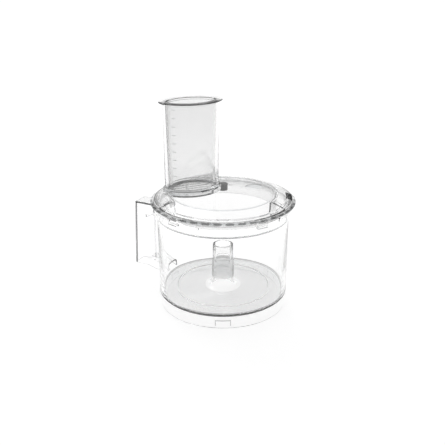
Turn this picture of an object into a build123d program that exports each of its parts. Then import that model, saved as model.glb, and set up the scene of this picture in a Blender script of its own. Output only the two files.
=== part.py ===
from build123d import *
import os
from math import atan2, cos, degrees, radians, sin

os.makedirs("parts", exist_ok=True)

# Bowl set of a food processor: bowl, handle, seal ring, lid, feed chute and pusher cup.
# Millimetres and degrees. Z is up along the bowl's axis, z = 0 is the foot of the skirt,
# and the handle stands out along -X. Azimuths count from +X towards +Y.

# Driving sizes of the bowl
wall_radius = 84.0  # outside of the bowl's wall
bowl_height = 136.2  # foot of the skirt to the bowl's top edge
wall = 2.6  # thickness of the bowl's wall and floor
skirt_step = 1.5  # how far the skirt stands in from the wall
skirt_wall = 2.3
floor_top = 19.0
collar_drop = 16.2  # height of the wider collar at the top of the wall
collar_step = 2.0  # how far the collar stands out from the wall
column_top = 78.7
column_radius = 13.3  # hollow drive column, at its top
column_step = 1.1  # how much wider it is below its step
column_step_drop = 21.7  # step below the column's top
column_draft = 0.5  # how much wider it grows down to the floor
bore_radius = 11.0  # drive bore up the column
foot_flare = 9.0  # radius where the column meets the floor
corner_radius = 1.5  # inside corner of wall and floor
floor_rib_radius = 61.9

# Driving sizes of the lid
rim_overhang = 6.0  # lid rim beyond the collar
seal_height = 1.8  # flat of the seal ring between bowl and lid
rim_height = 1.8
rim_lip = 2.5  # rounded edge of the rim
cone_width = 24.5  # sloping shoulder between rim and flat top
lid_rise = 11.0  # flat top above the rim's lower edge
lid_wall = 2.4
guard_depth = 14.0  # inner ring, below the rim's lower edge
guard_wall = 2.0
guard_gap = 3.0  # inner ring's outside beyond the flat top's edge
guard_boss_azimuth = 118.0
guard_boss_radius = 6.5
guard_boss_height = 10.0
seat_width = 2.0  # narrow ring under the shoulder that presses on the seal
rib_depth = 7.0  # centring rib that drops inside the bowl
rib_wall = 2.2
band_rise = 1.5  # raised part of the shoulder
band_start = -3.0
band_span = 239.4
lug_azimuths = (41.0, 113.0, 185.0, 257.0, 329.0)
lug_span = 8.5
lug_drop = 7.5  # below the rim's lower edge
lug_foot = 2.1  # thickness of the hooked foot
lug_inset = 0.3  # lug's outside in from the rim's edge
lug_root = 1.2  # how far the lug runs up into the rim
lock_angle = 45.0  # turn from put on to locked
ledge_width = 2.0
ledge_height = 3.0
stop_span = 1.6
badge_radius = 12.0  # plain round recess
badge_depth = 0.5
badge_place = (25.9, 37.5)

# Driving sizes of the chute and the pusher
chute_place = (-46.5, 2.2)
chute_turn = 51.0  # azimuth of the oval's long axis
chute_length = 72.2
chute_width = 49.0
chute_end_radius = 14.3
chute_wall = 2.4
chute_rise = 110.0  # top of the chute above the lid's flat top
chute_drop = 7.0  # lower end of the chute below the lid's flat top
chute_flange = 1.2
bead_width = 2.5
bead_height = 2.5
boss_width = 3.0
pusher_wall = 2.2
pusher_floor = 2.5
pusher_taper = 2.2  # how much narrower the foot is, on each side
pusher_lift_off = 3.0  # foot of the pusher above the chute's lower end
pusher_flange = 5.5
flange_height = 2.4
foot_rib_pitch = 6.5
foot_rib_width = 2.4
foot_rib_height = 0.9
foot_rib_margin = 3.5

# Driving sizes of the handle
grip_gap = 26.0  # finger gap between wall and grip
grip_depth = 20.0  # at the top of the grip
grip_flare = 3.5  # how much deeper the grip is at its foot
grip_width = 26.0
grip_round = 6.0
grip_foot = 29.0
handle_wall = 2.4
arm_height = 15.8
strut_foot = 22.0
strut_height = 10.5
strut_climb = 6.5  # rise of the lower arm from the wall to the grip

# Clearances
slide_gap = 0.4  # pusher in the chute, lugs around the ledges
seal_gap = 0.3
bond_gap = 0.15  # chute in the lid's hole
lap = 0.5  # overlap of features inside one solid

# Derived places
wall_inner = wall_radius - wall
skirt_radius = wall_radius - skirt_step
skirt_inner = skirt_radius - skirt_wall
floor_under = floor_top - wall
collar_base = bowl_height - collar_drop
collar_radius = wall_radius + collar_step
collar_inner = collar_radius - wall

rim_base = bowl_height + seal_height
rim_radius = collar_radius + rim_overhang
cone_outer = rim_radius - rim_lip
plateau_radius = cone_outer - cone_width
plateau_top = rim_base + lid_rise
cone_foot = rim_base + rim_height + rim_lip * 0.56
cone_slope = (plateau_top - cone_foot) / cone_width
guard_radius = plateau_radius + guard_gap

seal_lip_outer = collar_inner - seal_gap
seal_lip_inner = seal_lip_outer - 0.9
seal_outer = rim_radius - 3.8
seat_inner = (collar_inner + seal_outer - seat_width) / 2
seat_outer = seat_inner + seat_width
rib_outer = seal_lip_inner - slide_gap
rib_inner = rib_outer - rib_wall

ledge_radius = collar_radius + ledge_width
lug_inner = max(ledge_radius, seal_outer) + slide_gap
lug_outer = rim_radius - lug_inset
lug_base = rim_base - lug_drop
ledge_base = lug_base + lug_foot + slide_gap
ledge_start = lug_span / 2 + 1.2
ledge_end = lock_angle + lug_span / 2 + 1.0 + stop_span

chute_foot = plateau_top - chute_drop
chute_top = plateau_top + chute_rise
pusher_base = chute_foot + pusher_lift_off
flange_top = chute_top + flange_height

handle_top = collar_base - 0.2
grip_inner = wall_radius + grip_gap
grip_middle = grip_inner + grip_depth / 2
grip_foot_middle = grip_middle + grip_flare / 2


def half_plane(azimuth):
    """Upright plane through the Z axis, with its X running outward at an azimuth."""
    turn = radians(azimuth)
    return Plane(
        origin=(0, 0, 0),
        x_dir=(cos(turn), sin(turn), 0),
        z_dir=(sin(turn), -cos(turn), 0),
    )


def chute_plane(height):
    """Level plane at a height, centred on the chute, with X along its long axis."""
    turn = radians(chute_turn)
    return Plane(
        origin=(chute_place[0], chute_place[1], height),
        x_dir=(cos(turn), sin(turn), 0),
        z_dir=(0, 0, 1),
    )


def oval(grow):
    """Face of the chute's outer oval, grown by a margin: two round ends and two bowed sides."""
    end_radius = chute_end_radius + grow
    half_width = chute_width / 2 + grow
    end_place = chute_length / 2 - chute_end_radius
    side_radius = (end_place**2 + half_width**2 - end_radius**2) / (2 * (half_width - end_radius))
    side_place = side_radius - half_width
    tilt = degrees(atan2(side_place, end_place))
    with BuildSketch() as face:
        with BuildLine():
            CenterArc((end_place, 0), end_radius, -tilt, 2 * tilt)
            CenterArc((0, -side_place), side_radius, tilt, 180 - 2 * tilt)
            CenterArc((-end_place, 0), end_radius, 180 - tilt, 2 * tilt)
            CenterArc((0, side_place), side_radius, 180 + tilt, 180 - 2 * tilt)
        make_face()
    return face.sketch


def corner(x, y):
    """Test that picks the corner of a section at a given place."""
    return lambda vertex: abs(vertex.X - x) < 0.001 and abs(vertex.Y - y) < 0.001


def cone_top(radius):
    """Height of the lid's sloping shoulder at a radius."""
    return plateau_top - (radius - plateau_radius) * cone_slope


def cone_under(radius):
    """Height of the shoulder's underside at a radius."""
    return cone_top(radius) - lid_wall


chute_outside = oval(0)
chute_inside = oval(-chute_wall)
chute_rim = oval(chute_flange)
chute_bead = oval(bead_width)
lid_boss = oval(boss_width)
lid_seat = oval(bead_width + slide_gap)
lid_hole = oval(bond_gap)
pusher_head = oval(-chute_wall - slide_gap)
pusher_foot = oval(-chute_wall - slide_gap - pusher_taper)
cup_head = oval(-chute_wall - slide_gap - pusher_wall)
cup_foot = oval(-chute_wall - slide_gap - pusher_taper - pusher_wall)
pusher_rim = oval(pusher_flange)
rib_field = oval(-chute_wall - slide_gap - pusher_taper - foot_rib_margin)

# Bowl: skirt, floor, hollow column, wall and collar in one section
with BuildPart() as bowl:
    column_lower = column_radius + column_step
    column_step_base = column_top - column_step_drop
    column_foot = column_lower + column_draft
    with BuildSketch(Plane.XZ) as bowl_section:
        with BuildLine():
            Polyline(
                (skirt_inner, 0),
                (skirt_radius, 0),
                (skirt_radius, floor_under),
                (wall_radius, floor_under + skirt_step),
                (wall_radius, collar_base),
                (collar_radius, collar_base + collar_step),
                (collar_radius, bowl_height),
                (collar_inner, bowl_height),
                (collar_inner, collar_base + collar_step + lap),
                (wall_inner, collar_base + lap),
                (wall_inner, floor_top),
                (floor_rib_radius + 1.4, floor_top),
                (floor_rib_radius + 0.6, floor_top + 0.8),
                (floor_rib_radius - 0.6, floor_top + 0.8),
                (floor_rib_radius - 1.4, floor_top),
                (column_foot, floor_top),
                (column_lower, column_step_base),
                (column_radius, column_step_base + column_step),
                (column_radius, column_top),
                (bore_radius, column_top),
                (bore_radius, floor_under),
                (skirt_inner, floor_under),
                close=True,
            )
        make_face()
        fillet(bowl_section.vertices().filter_by(corner(wall_inner, floor_top)), corner_radius)
        fillet(bowl_section.vertices().filter_by(corner(column_foot, floor_top)), foot_flare)
        fillet(bowl_section.vertices().filter_by(corner(bore_radius, floor_under)), foot_flare + wall)
        fillet(bowl_section.vertices().filter_by(corner(column_radius, column_top)), 1.0)
        fillet(bowl_section.vertices().filter_by(corner(collar_radius, bowl_height)), 0.8)
        fillet(bowl_section.vertices().filter_by(corner(collar_inner, bowl_height)), 0.8)
    revolve(axis=Axis.Z)
    # Locking ledges, each with an upright stop at its far end
    for azimuth in lug_azimuths:
        with BuildSketch(half_plane(azimuth - ledge_end)):
            with Locations((collar_radius - lap, ledge_base)):
                Rectangle(ledge_width + lap, ledge_height, align=(Align.MIN, Align.MIN))
        revolve(axis=Axis.Z, revolution_arc=ledge_end - ledge_start)
        with BuildSketch(half_plane(azimuth - ledge_end)):
            with Locations((collar_radius - lap, lug_base)):
                Rectangle(
                    ledge_width + lap,
                    ledge_base + ledge_height - lug_base,
                    align=(Align.MIN, Align.MIN),
                )
        revolve(axis=Axis.Z, revolution_arc=stop_span)
    # Raised arch marks on the skirt, where the bowl meets its base
    mark_rise = 0.8
    mark_line = 1.5
    mark_span = 14.0
    mark_leg_span = 1.1
    mark_base = 3.5
    mark_height = floor_under * 0.5
    for azimuth in (58.0, 178.0, 298.0):
        for start in (azimuth - mark_span / 2, azimuth + mark_span / 2 - mark_leg_span):
            with BuildSketch(half_plane(start)):
                with Locations((skirt_radius - lap, mark_base)):
                    Rectangle(mark_rise + lap, mark_height, align=(Align.MIN, Align.MIN))
            revolve(axis=Axis.Z, revolution_arc=mark_leg_span)
        with BuildSketch(half_plane(azimuth - mark_span / 2)):
            with Locations((skirt_radius - lap, mark_base + mark_height - mark_line)):
                Rectangle(mark_rise + lap, mark_line, align=(Align.MIN, Align.MIN))
        revolve(axis=Axis.Z, revolution_arc=mark_span)

# Handle: hollow grip, open below, with two arms that end on the bowl's wall
with BuildPart() as handle:
    arm_reach = grip_gap + handle_wall + lap + wall
    arm_start = wall_inner
    strut_slope = Vector(-1, 0, strut_climb / grip_gap)
    with BuildSketch(Plane.XY.offset(grip_foot)):
        with Locations((-grip_foot_middle, 0)):
            RectangleRounded(grip_depth + grip_flare, grip_width, grip_round)
    with BuildSketch(Plane.XY.offset(handle_top)):
        with Locations((-grip_middle, 0)):
            RectangleRounded(grip_depth, grip_width, grip_round)
    loft()
    fillet(handle.edges().group_by(Axis.Z)[-1], handle_wall)
    with BuildSketch(Plane.YZ.offset(-arm_start)) as arm_section:
        with Locations((0, handle_top)):
            Rectangle(grip_width, arm_height, align=(Align.CENTER, Align.MAX))
        fillet(arm_section.vertices().group_by(Axis.Y)[-1], handle_wall)
    extrude(amount=arm_reach, dir=(-1, 0, 0))
    with BuildSketch(Plane.YZ.offset(-arm_start)) as strut_section:
        with Locations((0, strut_foot)):
            Rectangle(grip_width, strut_height, align=(Align.CENTER, Align.MIN))
        fillet(strut_section.vertices().group_by(Axis.Y)[-1], grip_round)
    extrude(amount=arm_reach * strut_slope.length, dir=strut_slope)
    # Hollows of the grip, the upper arm and the lower arm
    core_width = grip_width - 2 * handle_wall
    core_round = grip_round - handle_wall
    core_depth = grip_depth - 2 * handle_wall
    with BuildSketch(Plane.XY.offset(grip_foot)):
        with Locations((-grip_foot_middle, 0)):
            RectangleRounded(core_depth + grip_flare, core_width, core_round)
    with BuildSketch(Plane.XY.offset(handle_top - handle_wall)):
        with Locations((-grip_middle, 0)):
            RectangleRounded(core_depth, core_width, core_round)
    loft(mode=Mode.SUBTRACT)
    with BuildSketch(Plane.YZ.offset(-arm_start)):
        with Locations((0, handle_top - handle_wall)):
            Rectangle(core_width, arm_height, align=(Align.CENTER, Align.MAX))
    extrude(amount=arm_reach, dir=(-1, 0, 0), mode=Mode.SUBTRACT)
    with BuildSketch(Plane.YZ.offset(-arm_start)) as strut_core:
        with Locations((0, strut_foot - handle_wall)):
            Rectangle(core_width, strut_height, align=(Align.CENTER, Align.MIN))
        fillet(strut_core.vertices().group_by(Axis.Y)[-1], core_round)
    extrude(amount=arm_reach * strut_slope.length, dir=strut_slope, mode=Mode.SUBTRACT)
    with BuildSketch(Plane.XY):
        Circle(wall_radius)
    extrude(amount=bowl_height, mode=Mode.SUBTRACT)

# Seal ring: flat on the bowl's top edge, with a lip inside the collar
with BuildPart() as seal_ring:
    with BuildSketch(Plane.XZ):
        with BuildLine():
            Polyline(
                (seal_lip_inner, rim_base),
                (seal_outer, rim_base),
                (seal_outer, bowl_height),
                (seal_lip_outer, bowl_height),
                (seal_lip_outer, bowl_height - 3.2),
                (seal_lip_inner, bowl_height - 3.2),
                close=True,
            )
        make_face()
    revolve(axis=Axis.Z)

# Lid: rim, sloping shoulder, flat top, seat on the seal and centring rib
with BuildPart() as lid:
    guard_inner = guard_radius - guard_wall
    with BuildSketch(Plane.XZ) as lid_section:
        with BuildLine():
            Polyline(
                (0, plateau_top),
                (plateau_radius, plateau_top),
                (cone_outer, cone_foot),
                (rim_radius, rim_base + rim_height),
                (rim_radius, rim_base),
                (cone_outer, cone_under(cone_outer)),
                (seat_outer, cone_under(seat_outer)),
                (seat_outer, rim_base),
                (seat_inner, rim_base),
                (seat_inner, cone_under(seat_inner)),
                (rib_outer, cone_under(rib_outer)),
                (rib_outer, rim_base - rib_depth),
                (rib_inner, rim_base - rib_depth),
                (rib_inner, cone_under(rib_inner)),
                (plateau_radius, plateau_top - lid_wall),
                (0, plateau_top - lid_wall),
                close=True,
            )
        make_face()
        fillet(lid_section.vertices().filter_by(corner(plateau_radius, plateau_top)), 3.0)
        fillet(lid_section.vertices().filter_by(corner(rim_radius, rim_base + rim_height)), 0.8)
        fillet(lid_section.vertices().filter_by(corner(rim_radius, rim_base)), 0.6)
    revolve(axis=Axis.Z)
    # Raised part of the shoulder, round the back, with a step at each end
    band_inner = guard_radius - 1.0
    band_outer = cone_outer - 1.5
    with BuildSketch(half_plane(band_start)):
        with BuildLine():
            Polyline(
                (band_inner, cone_top(band_inner) - lap),
                (band_outer, cone_top(band_outer) - lap),
                (band_outer - 0.8, cone_top(band_outer - 0.8) + band_rise),
                (band_inner + 3.0, cone_top(band_inner + 3.0) + band_rise),
                close=True,
            )
        make_face()
    revolve(axis=Axis.Z, revolution_arc=band_span)
    # Guard ring below the raised part, with a small round boss on it
    guard_base = rim_base - guard_depth
    with BuildSketch(half_plane(band_start)):
        with Locations((guard_inner, guard_base)):
            Rectangle(
                guard_wall,
                cone_under(guard_radius) + lap - guard_base,
                align=(Align.MIN, Align.MIN),
            )
    revolve(axis=Axis.Z, revolution_arc=band_span)
    boss_turn = radians(guard_boss_azimuth)
    with BuildSketch(Plane.XY.offset(rim_base - guard_boss_height)):
        with Locations((guard_radius * cos(boss_turn), guard_radius * sin(boss_turn))):
            Circle(guard_boss_radius)
    extrude(amount=guard_boss_height)
    # Hooked lugs that turn under the bowl's ledges
    for azimuth in lug_azimuths:
        with BuildSketch(half_plane(azimuth - lug_span / 2)):
            with BuildLine():
                Polyline(
                    (lug_outer, rim_base + lug_root),
                    (lug_inner, rim_base + lug_root),
                    (lug_inner, lug_base + lug_foot),
                    (collar_radius + slide_gap, lug_base + lug_foot),
                    (collar_radius + slide_gap, lug_base),
                    (lug_outer, lug_base),
                    close=True,
                )
            make_face()
        revolve(axis=Axis.Z, revolution_arc=lug_span)
    # Boss, flat seat and hole for the chute
    with BuildSketch(chute_plane(chute_foot)):
        add(lid_boss)
    extrude(amount=plateau_top - chute_foot)
    with BuildSketch(chute_plane(plateau_top)):
        add(lid_seat)
    extrude(amount=bead_height + band_rise, mode=Mode.SUBTRACT)
    with BuildSketch(chute_plane(rim_base - guard_depth - 1)):
        add(lid_hole)
    extrude(amount=guard_depth + lid_rise + 2, mode=Mode.SUBTRACT)
    # Plain round recess
    with BuildSketch(Plane.XY.offset(plateau_top)):
        with Locations(badge_place):
            Circle(badge_radius)
    extrude(amount=-badge_depth, mode=Mode.SUBTRACT)

# Feed chute: oval tube through the lid, with a bead that sits on it and a rim on top
with BuildPart() as feed_chute:
    with BuildSketch(chute_plane(chute_foot)):
        add(chute_outside)
    extrude(amount=chute_top - chute_foot)
    with BuildSketch(chute_plane(plateau_top)):
        add(chute_bead)
    extrude(amount=bead_height)
    with BuildSketch(chute_plane(chute_top - flange_height)):
        add(chute_rim)
    extrude(amount=flange_height)
    fillet(feed_chute.edges().group_by(Axis.Z)[-1], 0.8)
    with BuildSketch(chute_plane(chute_foot)):
        add(chute_inside)
    extrude(amount=chute_top - chute_foot, mode=Mode.SUBTRACT)

# Pusher: tapered cup that hangs in the chute by its flange, with ribs under its foot
with BuildPart() as pusher:
    with BuildSketch(chute_plane(pusher_base)):
        add(pusher_foot)
    with BuildSketch(chute_plane(chute_top)):
        add(pusher_head)
    loft()
    with BuildSketch(chute_plane(chute_top)):
        add(pusher_rim)
    extrude(amount=flange_height)
    fillet(pusher.edges().group_by(Axis.Z)[-1], 1.0)
    with BuildSketch(chute_plane(pusher_base + pusher_floor)):
        add(cup_foot)
    with BuildSketch(chute_plane(flange_top)):
        add(cup_head)
    loft(mode=Mode.SUBTRACT)
    with BuildSketch(chute_plane(pusher_base)):
        with GridLocations(0, foot_rib_pitch, 1, 5):
            Rectangle(chute_length, foot_rib_width)
        add(rib_field, mode=Mode.INTERSECT)
    extrude(amount=-foot_rib_height)

bowl.part.label = "bowl"
handle.part.label = "handle"
seal_ring.part.label = "seal_ring"
lid.part.label = "lid"
feed_chute.part.label = "feed_chute"
pusher.part.label = "pusher"
export_step(bowl.part, "parts/bowl.step")
export_step(handle.part, "parts/handle.step")
export_step(seal_ring.part, "parts/seal_ring.step")
export_step(lid.part, "parts/lid.step")
export_step(feed_chute.part, "parts/feed_chute.step")
export_step(pusher.part, "parts/pusher.step")
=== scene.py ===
"""Clear food processor bowl set: bowl with handle, lid with feed chute, and a pusher cup.

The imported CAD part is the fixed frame. Each class below builds one sub-assembly as a
finished mesh in that frame, dresses it and hands it to its body. Sizes are in
millimetres in the sections and in metres in the meshes. Azimuths count from +X to +Y.
"""

import logging
import math
from dataclasses import dataclass
from enum import Enum
from typing import Any, Callable, Sequence

import bmesh
import bpy
from mathutils import Matrix, Vector

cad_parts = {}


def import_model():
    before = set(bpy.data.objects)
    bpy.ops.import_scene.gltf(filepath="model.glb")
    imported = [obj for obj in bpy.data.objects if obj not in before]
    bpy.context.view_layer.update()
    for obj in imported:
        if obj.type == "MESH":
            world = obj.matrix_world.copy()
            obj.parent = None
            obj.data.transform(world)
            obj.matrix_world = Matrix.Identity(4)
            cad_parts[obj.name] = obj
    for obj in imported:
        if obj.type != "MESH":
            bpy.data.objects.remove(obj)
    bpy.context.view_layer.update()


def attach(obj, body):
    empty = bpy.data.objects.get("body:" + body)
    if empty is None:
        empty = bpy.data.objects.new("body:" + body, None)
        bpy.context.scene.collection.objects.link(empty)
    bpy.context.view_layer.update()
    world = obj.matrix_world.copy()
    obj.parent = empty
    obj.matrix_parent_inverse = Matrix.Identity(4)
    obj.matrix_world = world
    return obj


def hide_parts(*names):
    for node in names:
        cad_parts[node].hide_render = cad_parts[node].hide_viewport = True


LOG = logging.getLogger("bowl_set")
MM = 0.001

Point = tuple[float, float]
Place = tuple[float, float, float]
Colour = tuple[float, float, float, float]

BLACK: Colour = (0.0, 0.0, 0.0, 1.0)
WHITE: Colour = (1.0, 1.0, 1.0, 1.0)

# Level ways towards the viewer and to the viewer's left; faces turned these ways get lines of
# painted shade
FRONT = Vector((0.469, -0.883, 0.0))
LEFT = Vector((-0.883, -0.469, 0.0))

# Centre of the chute's oval on the lid, and the azimuth of its long axis in degrees
OVAL_PLACE: Point = (-46.5, 2.2)
OVAL_TURN = 51.0

# How far a joined piece is sunk into what carries it, and a cutting tool reaches past what it cuts
SUNK = 0.5
PAST = 1.0

# Least upright share of the normal of a level face
LEVEL = 0.95


def grey(level: float) -> Colour:
    """Neutral colour of one level."""
    return level, level, level, 1.0


class Cut(Enum):
    """How one closed mesh changes another."""

    JOIN = "UNION"
    TAKE_AWAY = "DIFFERENCE"
    KEEP_COMMON = "INTERSECT"


class Body(Enum):
    """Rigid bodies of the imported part."""

    BOWL = "bowl"
    SEAL = "seal"
    LID = "lid"
    PUSHER = "pusher"


class Value:
    """A shader socket that takes part in Python expressions."""

    def __init__(self, paint: "Paint", socket: bpy.types.NodeSocket) -> None:
        """Wraps one output socket of a paint's tree."""
        self.paint = paint
        self.socket = socket

    def _math(self, operation: str, first: Any, second: Any) -> "Value":
        """Adds a Math node.

        Args:
            operation: Blender's name of the operation.
            first: value or number on the left.
            second: value or number on the right.

        Returns:
            The result as a new value.
        """
        node = self.paint.node("ShaderNodeMath", {"operation": operation}, {0: first, 1: second})
        return Value(self.paint, node.outputs[0])

    def __add__(self, other: Any) -> "Value":
        """Sum."""
        return self._math("ADD", self, other)

    def __radd__(self, other: Any) -> "Value":
        """Sum with a number on the left."""
        return self._math("ADD", other, self)

    def __sub__(self, other: Any) -> "Value":
        """Difference."""
        return self._math("SUBTRACT", self, other)

    def __rsub__(self, other: Any) -> "Value":
        """Difference from a number on the left."""
        return self._math("SUBTRACT", other, self)

    def __mul__(self, other: Any) -> "Value":
        """Product."""
        return self._math("MULTIPLY", self, other)

    def __rmul__(self, other: Any) -> "Value":
        """Product with a number on the left."""
        return self._math("MULTIPLY", other, self)

    def __pow__(self, other: Any) -> "Value":
        """Power."""
        return self._math("POWER", self, other)

    def azimuth(self, across: Any) -> "Value":
        """Angle of the way with this as its second coordinate and another as its first."""
        return self._math("ARCTAN2", self, across)

    def cosine(self) -> "Value":
        """Cosine of an angle in radians."""
        return self._math("COSINE", self, 0.0)

    def ramp(self, low: float, high: float) -> "Value":
        """Smooth step from 0 at low to 1 at high."""
        node = self.paint.node(
            "ShaderNodeMapRange",
            {"interpolation_type": "SMOOTHSTEP"},
            {"Value": self, "From Min": low, "From Max": high},
        )
        return Value(self.paint, node.outputs["Result"])


class Wiring:
    """A node tree that is written in the script."""

    def __init__(self, tree: bpy.types.NodeTree) -> None:
        """Takes the tree that the nodes go into."""
        self.tree = tree

    def node(
        self,
        kind: str,
        settings: dict[str, Any] | None = None,
        inputs: dict[str | int, Any] | None = None,
    ) -> bpy.types.Node:
        """Adds a node.

        Args:
            kind: Blender's type name of the node.
            settings: properties, set first.
            inputs: numbers, colours, values or sockets by input name or place.

        Returns:
            The new node.
        """
        made = self.tree.nodes.new(kind)
        for name, setting in (settings or {}).items():
            setattr(made, name, setting)
        for key, given in (inputs or {}).items():
            socket = made.inputs[key]
            if isinstance(given, Value):
                self.tree.links.new(given.socket, socket)
            elif isinstance(given, bpy.types.NodeSocket):
                self.tree.links.new(given, socket)
            else:
                socket.default_value = given
        return made


class Paint(Wiring):
    """Shader tree of a material or of the world, written as expressions."""

    def __init__(self, owner: bpy.types.Material | bpy.types.World) -> None:
        """Clears the owner's tree to start from nothing.

        Args:
            owner: material or world that is painted.
        """
        owner.use_nodes = True
        super().__init__(owner.node_tree)
        self.owner = owner
        self.tree.nodes.clear()

    def place(self) -> bpy.types.NodeSocket:
        """Object coordinates, in metres."""
        return self.node("ShaderNodeTexCoord").outputs["Object"]

    def axes(self, vector: bpy.types.NodeSocket | None = None) -> tuple[Value, Value, Value]:
        """The three parts of a vector, or of the object coordinates in metres.

        Args:
            vector: what to use in place of object coordinates.

        Returns:
            Its parts along X, Y and Z.
        """
        parts = self.node("ShaderNodeSeparateXYZ", None, {0: vector or self.place()})
        x, y, z = (Value(self, output) for output in parts.outputs)
        return x, y, z

    def facing(self) -> Value:
        """0 where a surface is seen square on, 1 where it is seen along its skin."""
        return Value(self, self.node("ShaderNodeLayerWeight").outputs["Facing"])

    def noise(
        self,
        scale: float,
        detail: float,
        stretch: Place = (1.0, 1.0, 1.0),
        vector: bpy.types.NodeSocket | None = None,
    ) -> Value:
        """Noise on object coordinates, or on another vector.

        Args:
            scale: grains for each unit of the vector.
            detail: octaves.
            stretch: factor along each axis.
            vector: what to use in place of object coordinates.

        Returns:
            A value around a half.
        """
        source = vector or self.place()
        turned = self.node("ShaderNodeMapping", None, {"Vector": source, "Scale": stretch})
        grain = self.node(
            "ShaderNodeTexNoise",
            None,
            {"Vector": turned.outputs[0], "Scale": scale, "Detail": detail},
        )
        return Value(self, grain.outputs[0])

    def blend(self, factor: Value, low: Colour, high: Colour) -> bpy.types.NodeSocket:
        """Colour between two colours by a factor."""
        mixed = self.node("ShaderNodeMix", {"data_type": "RGBA"}, {0: factor, 6: low, 7: high})
        return mixed.outputs[2]

    def bump(self, height: Value, strength: float, distance: float) -> bpy.types.NodeSocket:
        """Normal from a height.

        Args:
            height: the height field.
            strength: share of the effect.
            distance: height of one unit, in metres.

        Returns:
            The normal socket.
        """
        inputs = {"Strength": strength, "Distance": distance, "Height": height}
        return self.node("ShaderNodeBump", None, inputs).outputs[0]

    def shell(self, inputs: dict[str | int, Any]) -> bpy.types.NodeSocket:
        """Surface of a Principled shader with given inputs."""
        return self.node("ShaderNodeBsdfPrincipled", None, inputs).outputs[0]

    def output(
        self, surface: bpy.types.NodeSocket, volume: bpy.types.NodeSocket | None = None
    ) -> bpy.types.Material:
        """Ends a material's tree.

        Args:
            surface: shader of the skin.
            volume: shader of what is inside, if any.

        Returns:
            The finished material.
        """
        links: dict[str | int, Any] = {"Surface": surface}
        if volume is not None:
            links["Volume"] = volume
        self.node("ShaderNodeOutputMaterial", None, links)
        return self.owner


@dataclass(frozen=True)
class ClearPlastic:
    """Clear moulded plastic: polished, faintly rippled, a little smoky where it is thick, with
    painted shade at its outline.
    """

    name: str
    tint: Colour = WHITE
    smoke: float = 2.0
    smoke_tint: Colour = (0.80, 0.82, 0.83, 1.0)
    clearness: float = 1.0
    roughness: float = 0.0
    cloud: float = 0.015
    haze: float = 0.02
    haze_range: Point = (0.4, 0.8)
    scuff: float = 0.04
    scuff_range: Point = (0.62, 0.8)
    ripple: float = 0.04
    ripple_depth: float = 0.002
    # edge: share of the tint taken away along the skin, as painted shade at the outline
    edge: float = 0.0
    edge_shade_from: float = 0.70
    edge_shade_full: float = 0.97
    index: float = 1.49

    @staticmethod
    def clouds(paint: Paint) -> Value:
        """Broad uneven patches of a moulding."""
        return paint.noise(scale=24.0, detail=3.0)

    def skin(self, paint: Paint) -> Value:
        """Share of painted shade: 1 where the surface is seen along its skin, 0 where it is seen
        square on.
        """
        return paint.facing().ramp(self.edge_shade_from, self.edge_shade_full)

    def strength(self, paint: Paint) -> Value:
        """Share of the tint that passes at a place: a little less in clouds, and less along the skin
        as painted shade.
        """
        return (1.0 - self.cloud * self.clouds(paint)) * (1.0 - self.edge * self.skin(paint))

    def make(self) -> bpy.types.Material:
        """Builds the material.

        Returns:
            The finished material.
        """
        paint = Paint(bpy.data.materials.new(self.name))
        haze = self.clouds(paint).ramp(*self.haze_range)
        scratch = paint.noise(scale=160.0, detail=5.0, stretch=(1.0, 1.0, 0.15))
        scuff = scratch.ramp(*self.scuff_range)
        flow = paint.noise(scale=16.0, detail=1.0, stretch=(1.0, 1.0, 0.5))
        shell = paint.shell(
            {
                "Base Color": paint.blend(self.strength(paint), BLACK, self.tint),
                "Roughness": self.roughness + self.haze * haze + self.scuff * scuff,
                "Transmission Weight": self.clearness,
                "IOR": self.index,
                "Normal": paint.bump(flow, self.ripple, self.ripple_depth),
            }
        )
        inside = {"Color": self.smoke_tint, "Density": self.smoke}
        smoke = paint.node("ShaderNodeVolumeAbsorption", None, inside)
        return paint.output(shell, smoke.outputs[0])


@dataclass(frozen=True)
class CupPlastic(ClearPlastic):
    """Clear plastic of the pusher, greyer towards its mouth, with painted shade along the skin of
    one end.
    """

    low: float = 0.15
    high: float = 0.258
    mouth: float = 0.95
    reach: float = 0.030

    def skin(self, paint: Paint) -> Value:
        """Share of painted shade: 1 along the skin of the oval's nearer end.

        Args:
            paint: tree of the material.

        Returns:
            A value from 0 to 1.
        """
        x, y, _ = paint.axes()
        turn = math.radians(OVAL_TURN)
        centre_x, centre_y = (part * MM for part in OVAL_PLACE)
        along = (x - centre_x) * math.cos(turn) + (y - centre_y) * math.sin(turn)
        return (-1.0 * along).ramp(0.0, self.reach) * super().skin(paint)

    def strength(self, paint: Paint) -> Value:
        """Share of the tint that passes, less towards the mouth, and less along the skin of one end
        as painted shade.

        Args:
            paint: tree of the material.

        Returns:
            A value from 0 to 1.
        """
        _, _, z = paint.axes()
        mouth = 1.0 - (1.0 - self.mouth) * z.ramp(self.low, self.high)
        return super().strength(paint) * mouth


@dataclass(frozen=True)
class SealSilicone(ClearPlastic):
    """Pale silicone, darker in patches where the lid's seat presses on it."""

    inner: float = 0.0846
    outer: float = 0.0870
    soft: float = 0.0004
    press: float = 0.95
    patches: float = 15.0
    patch_range: Point = (0.44, 0.54)

    def strength(self, paint: Paint) -> Value:
        """Share of the tint that passes, less in the pressed patches.

        Args:
            paint: tree of the material.

        Returns:
            A value from 0 to 1.
        """
        x, y, _ = paint.axes()
        reach = (x * x + y * y) ** 0.5
        flat = paint.node("ShaderNodeCombineXYZ", None, {"X": x, "Y": y})
        way = paint.node("ShaderNodeVectorMath", {"operation": "NORMALIZE"}, {0: flat.outputs[0]})
        patch = paint.noise(self.patches, 1.0, vector=way.outputs[0]).ramp(*self.patch_range)
        within = 1.0 - reach.ramp(self.outer, self.outer + self.soft)
        ring = reach.ramp(self.inner - self.soft, self.inner) * within
        return super().strength(paint) * (1.0 - self.press * ring * patch)


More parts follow.
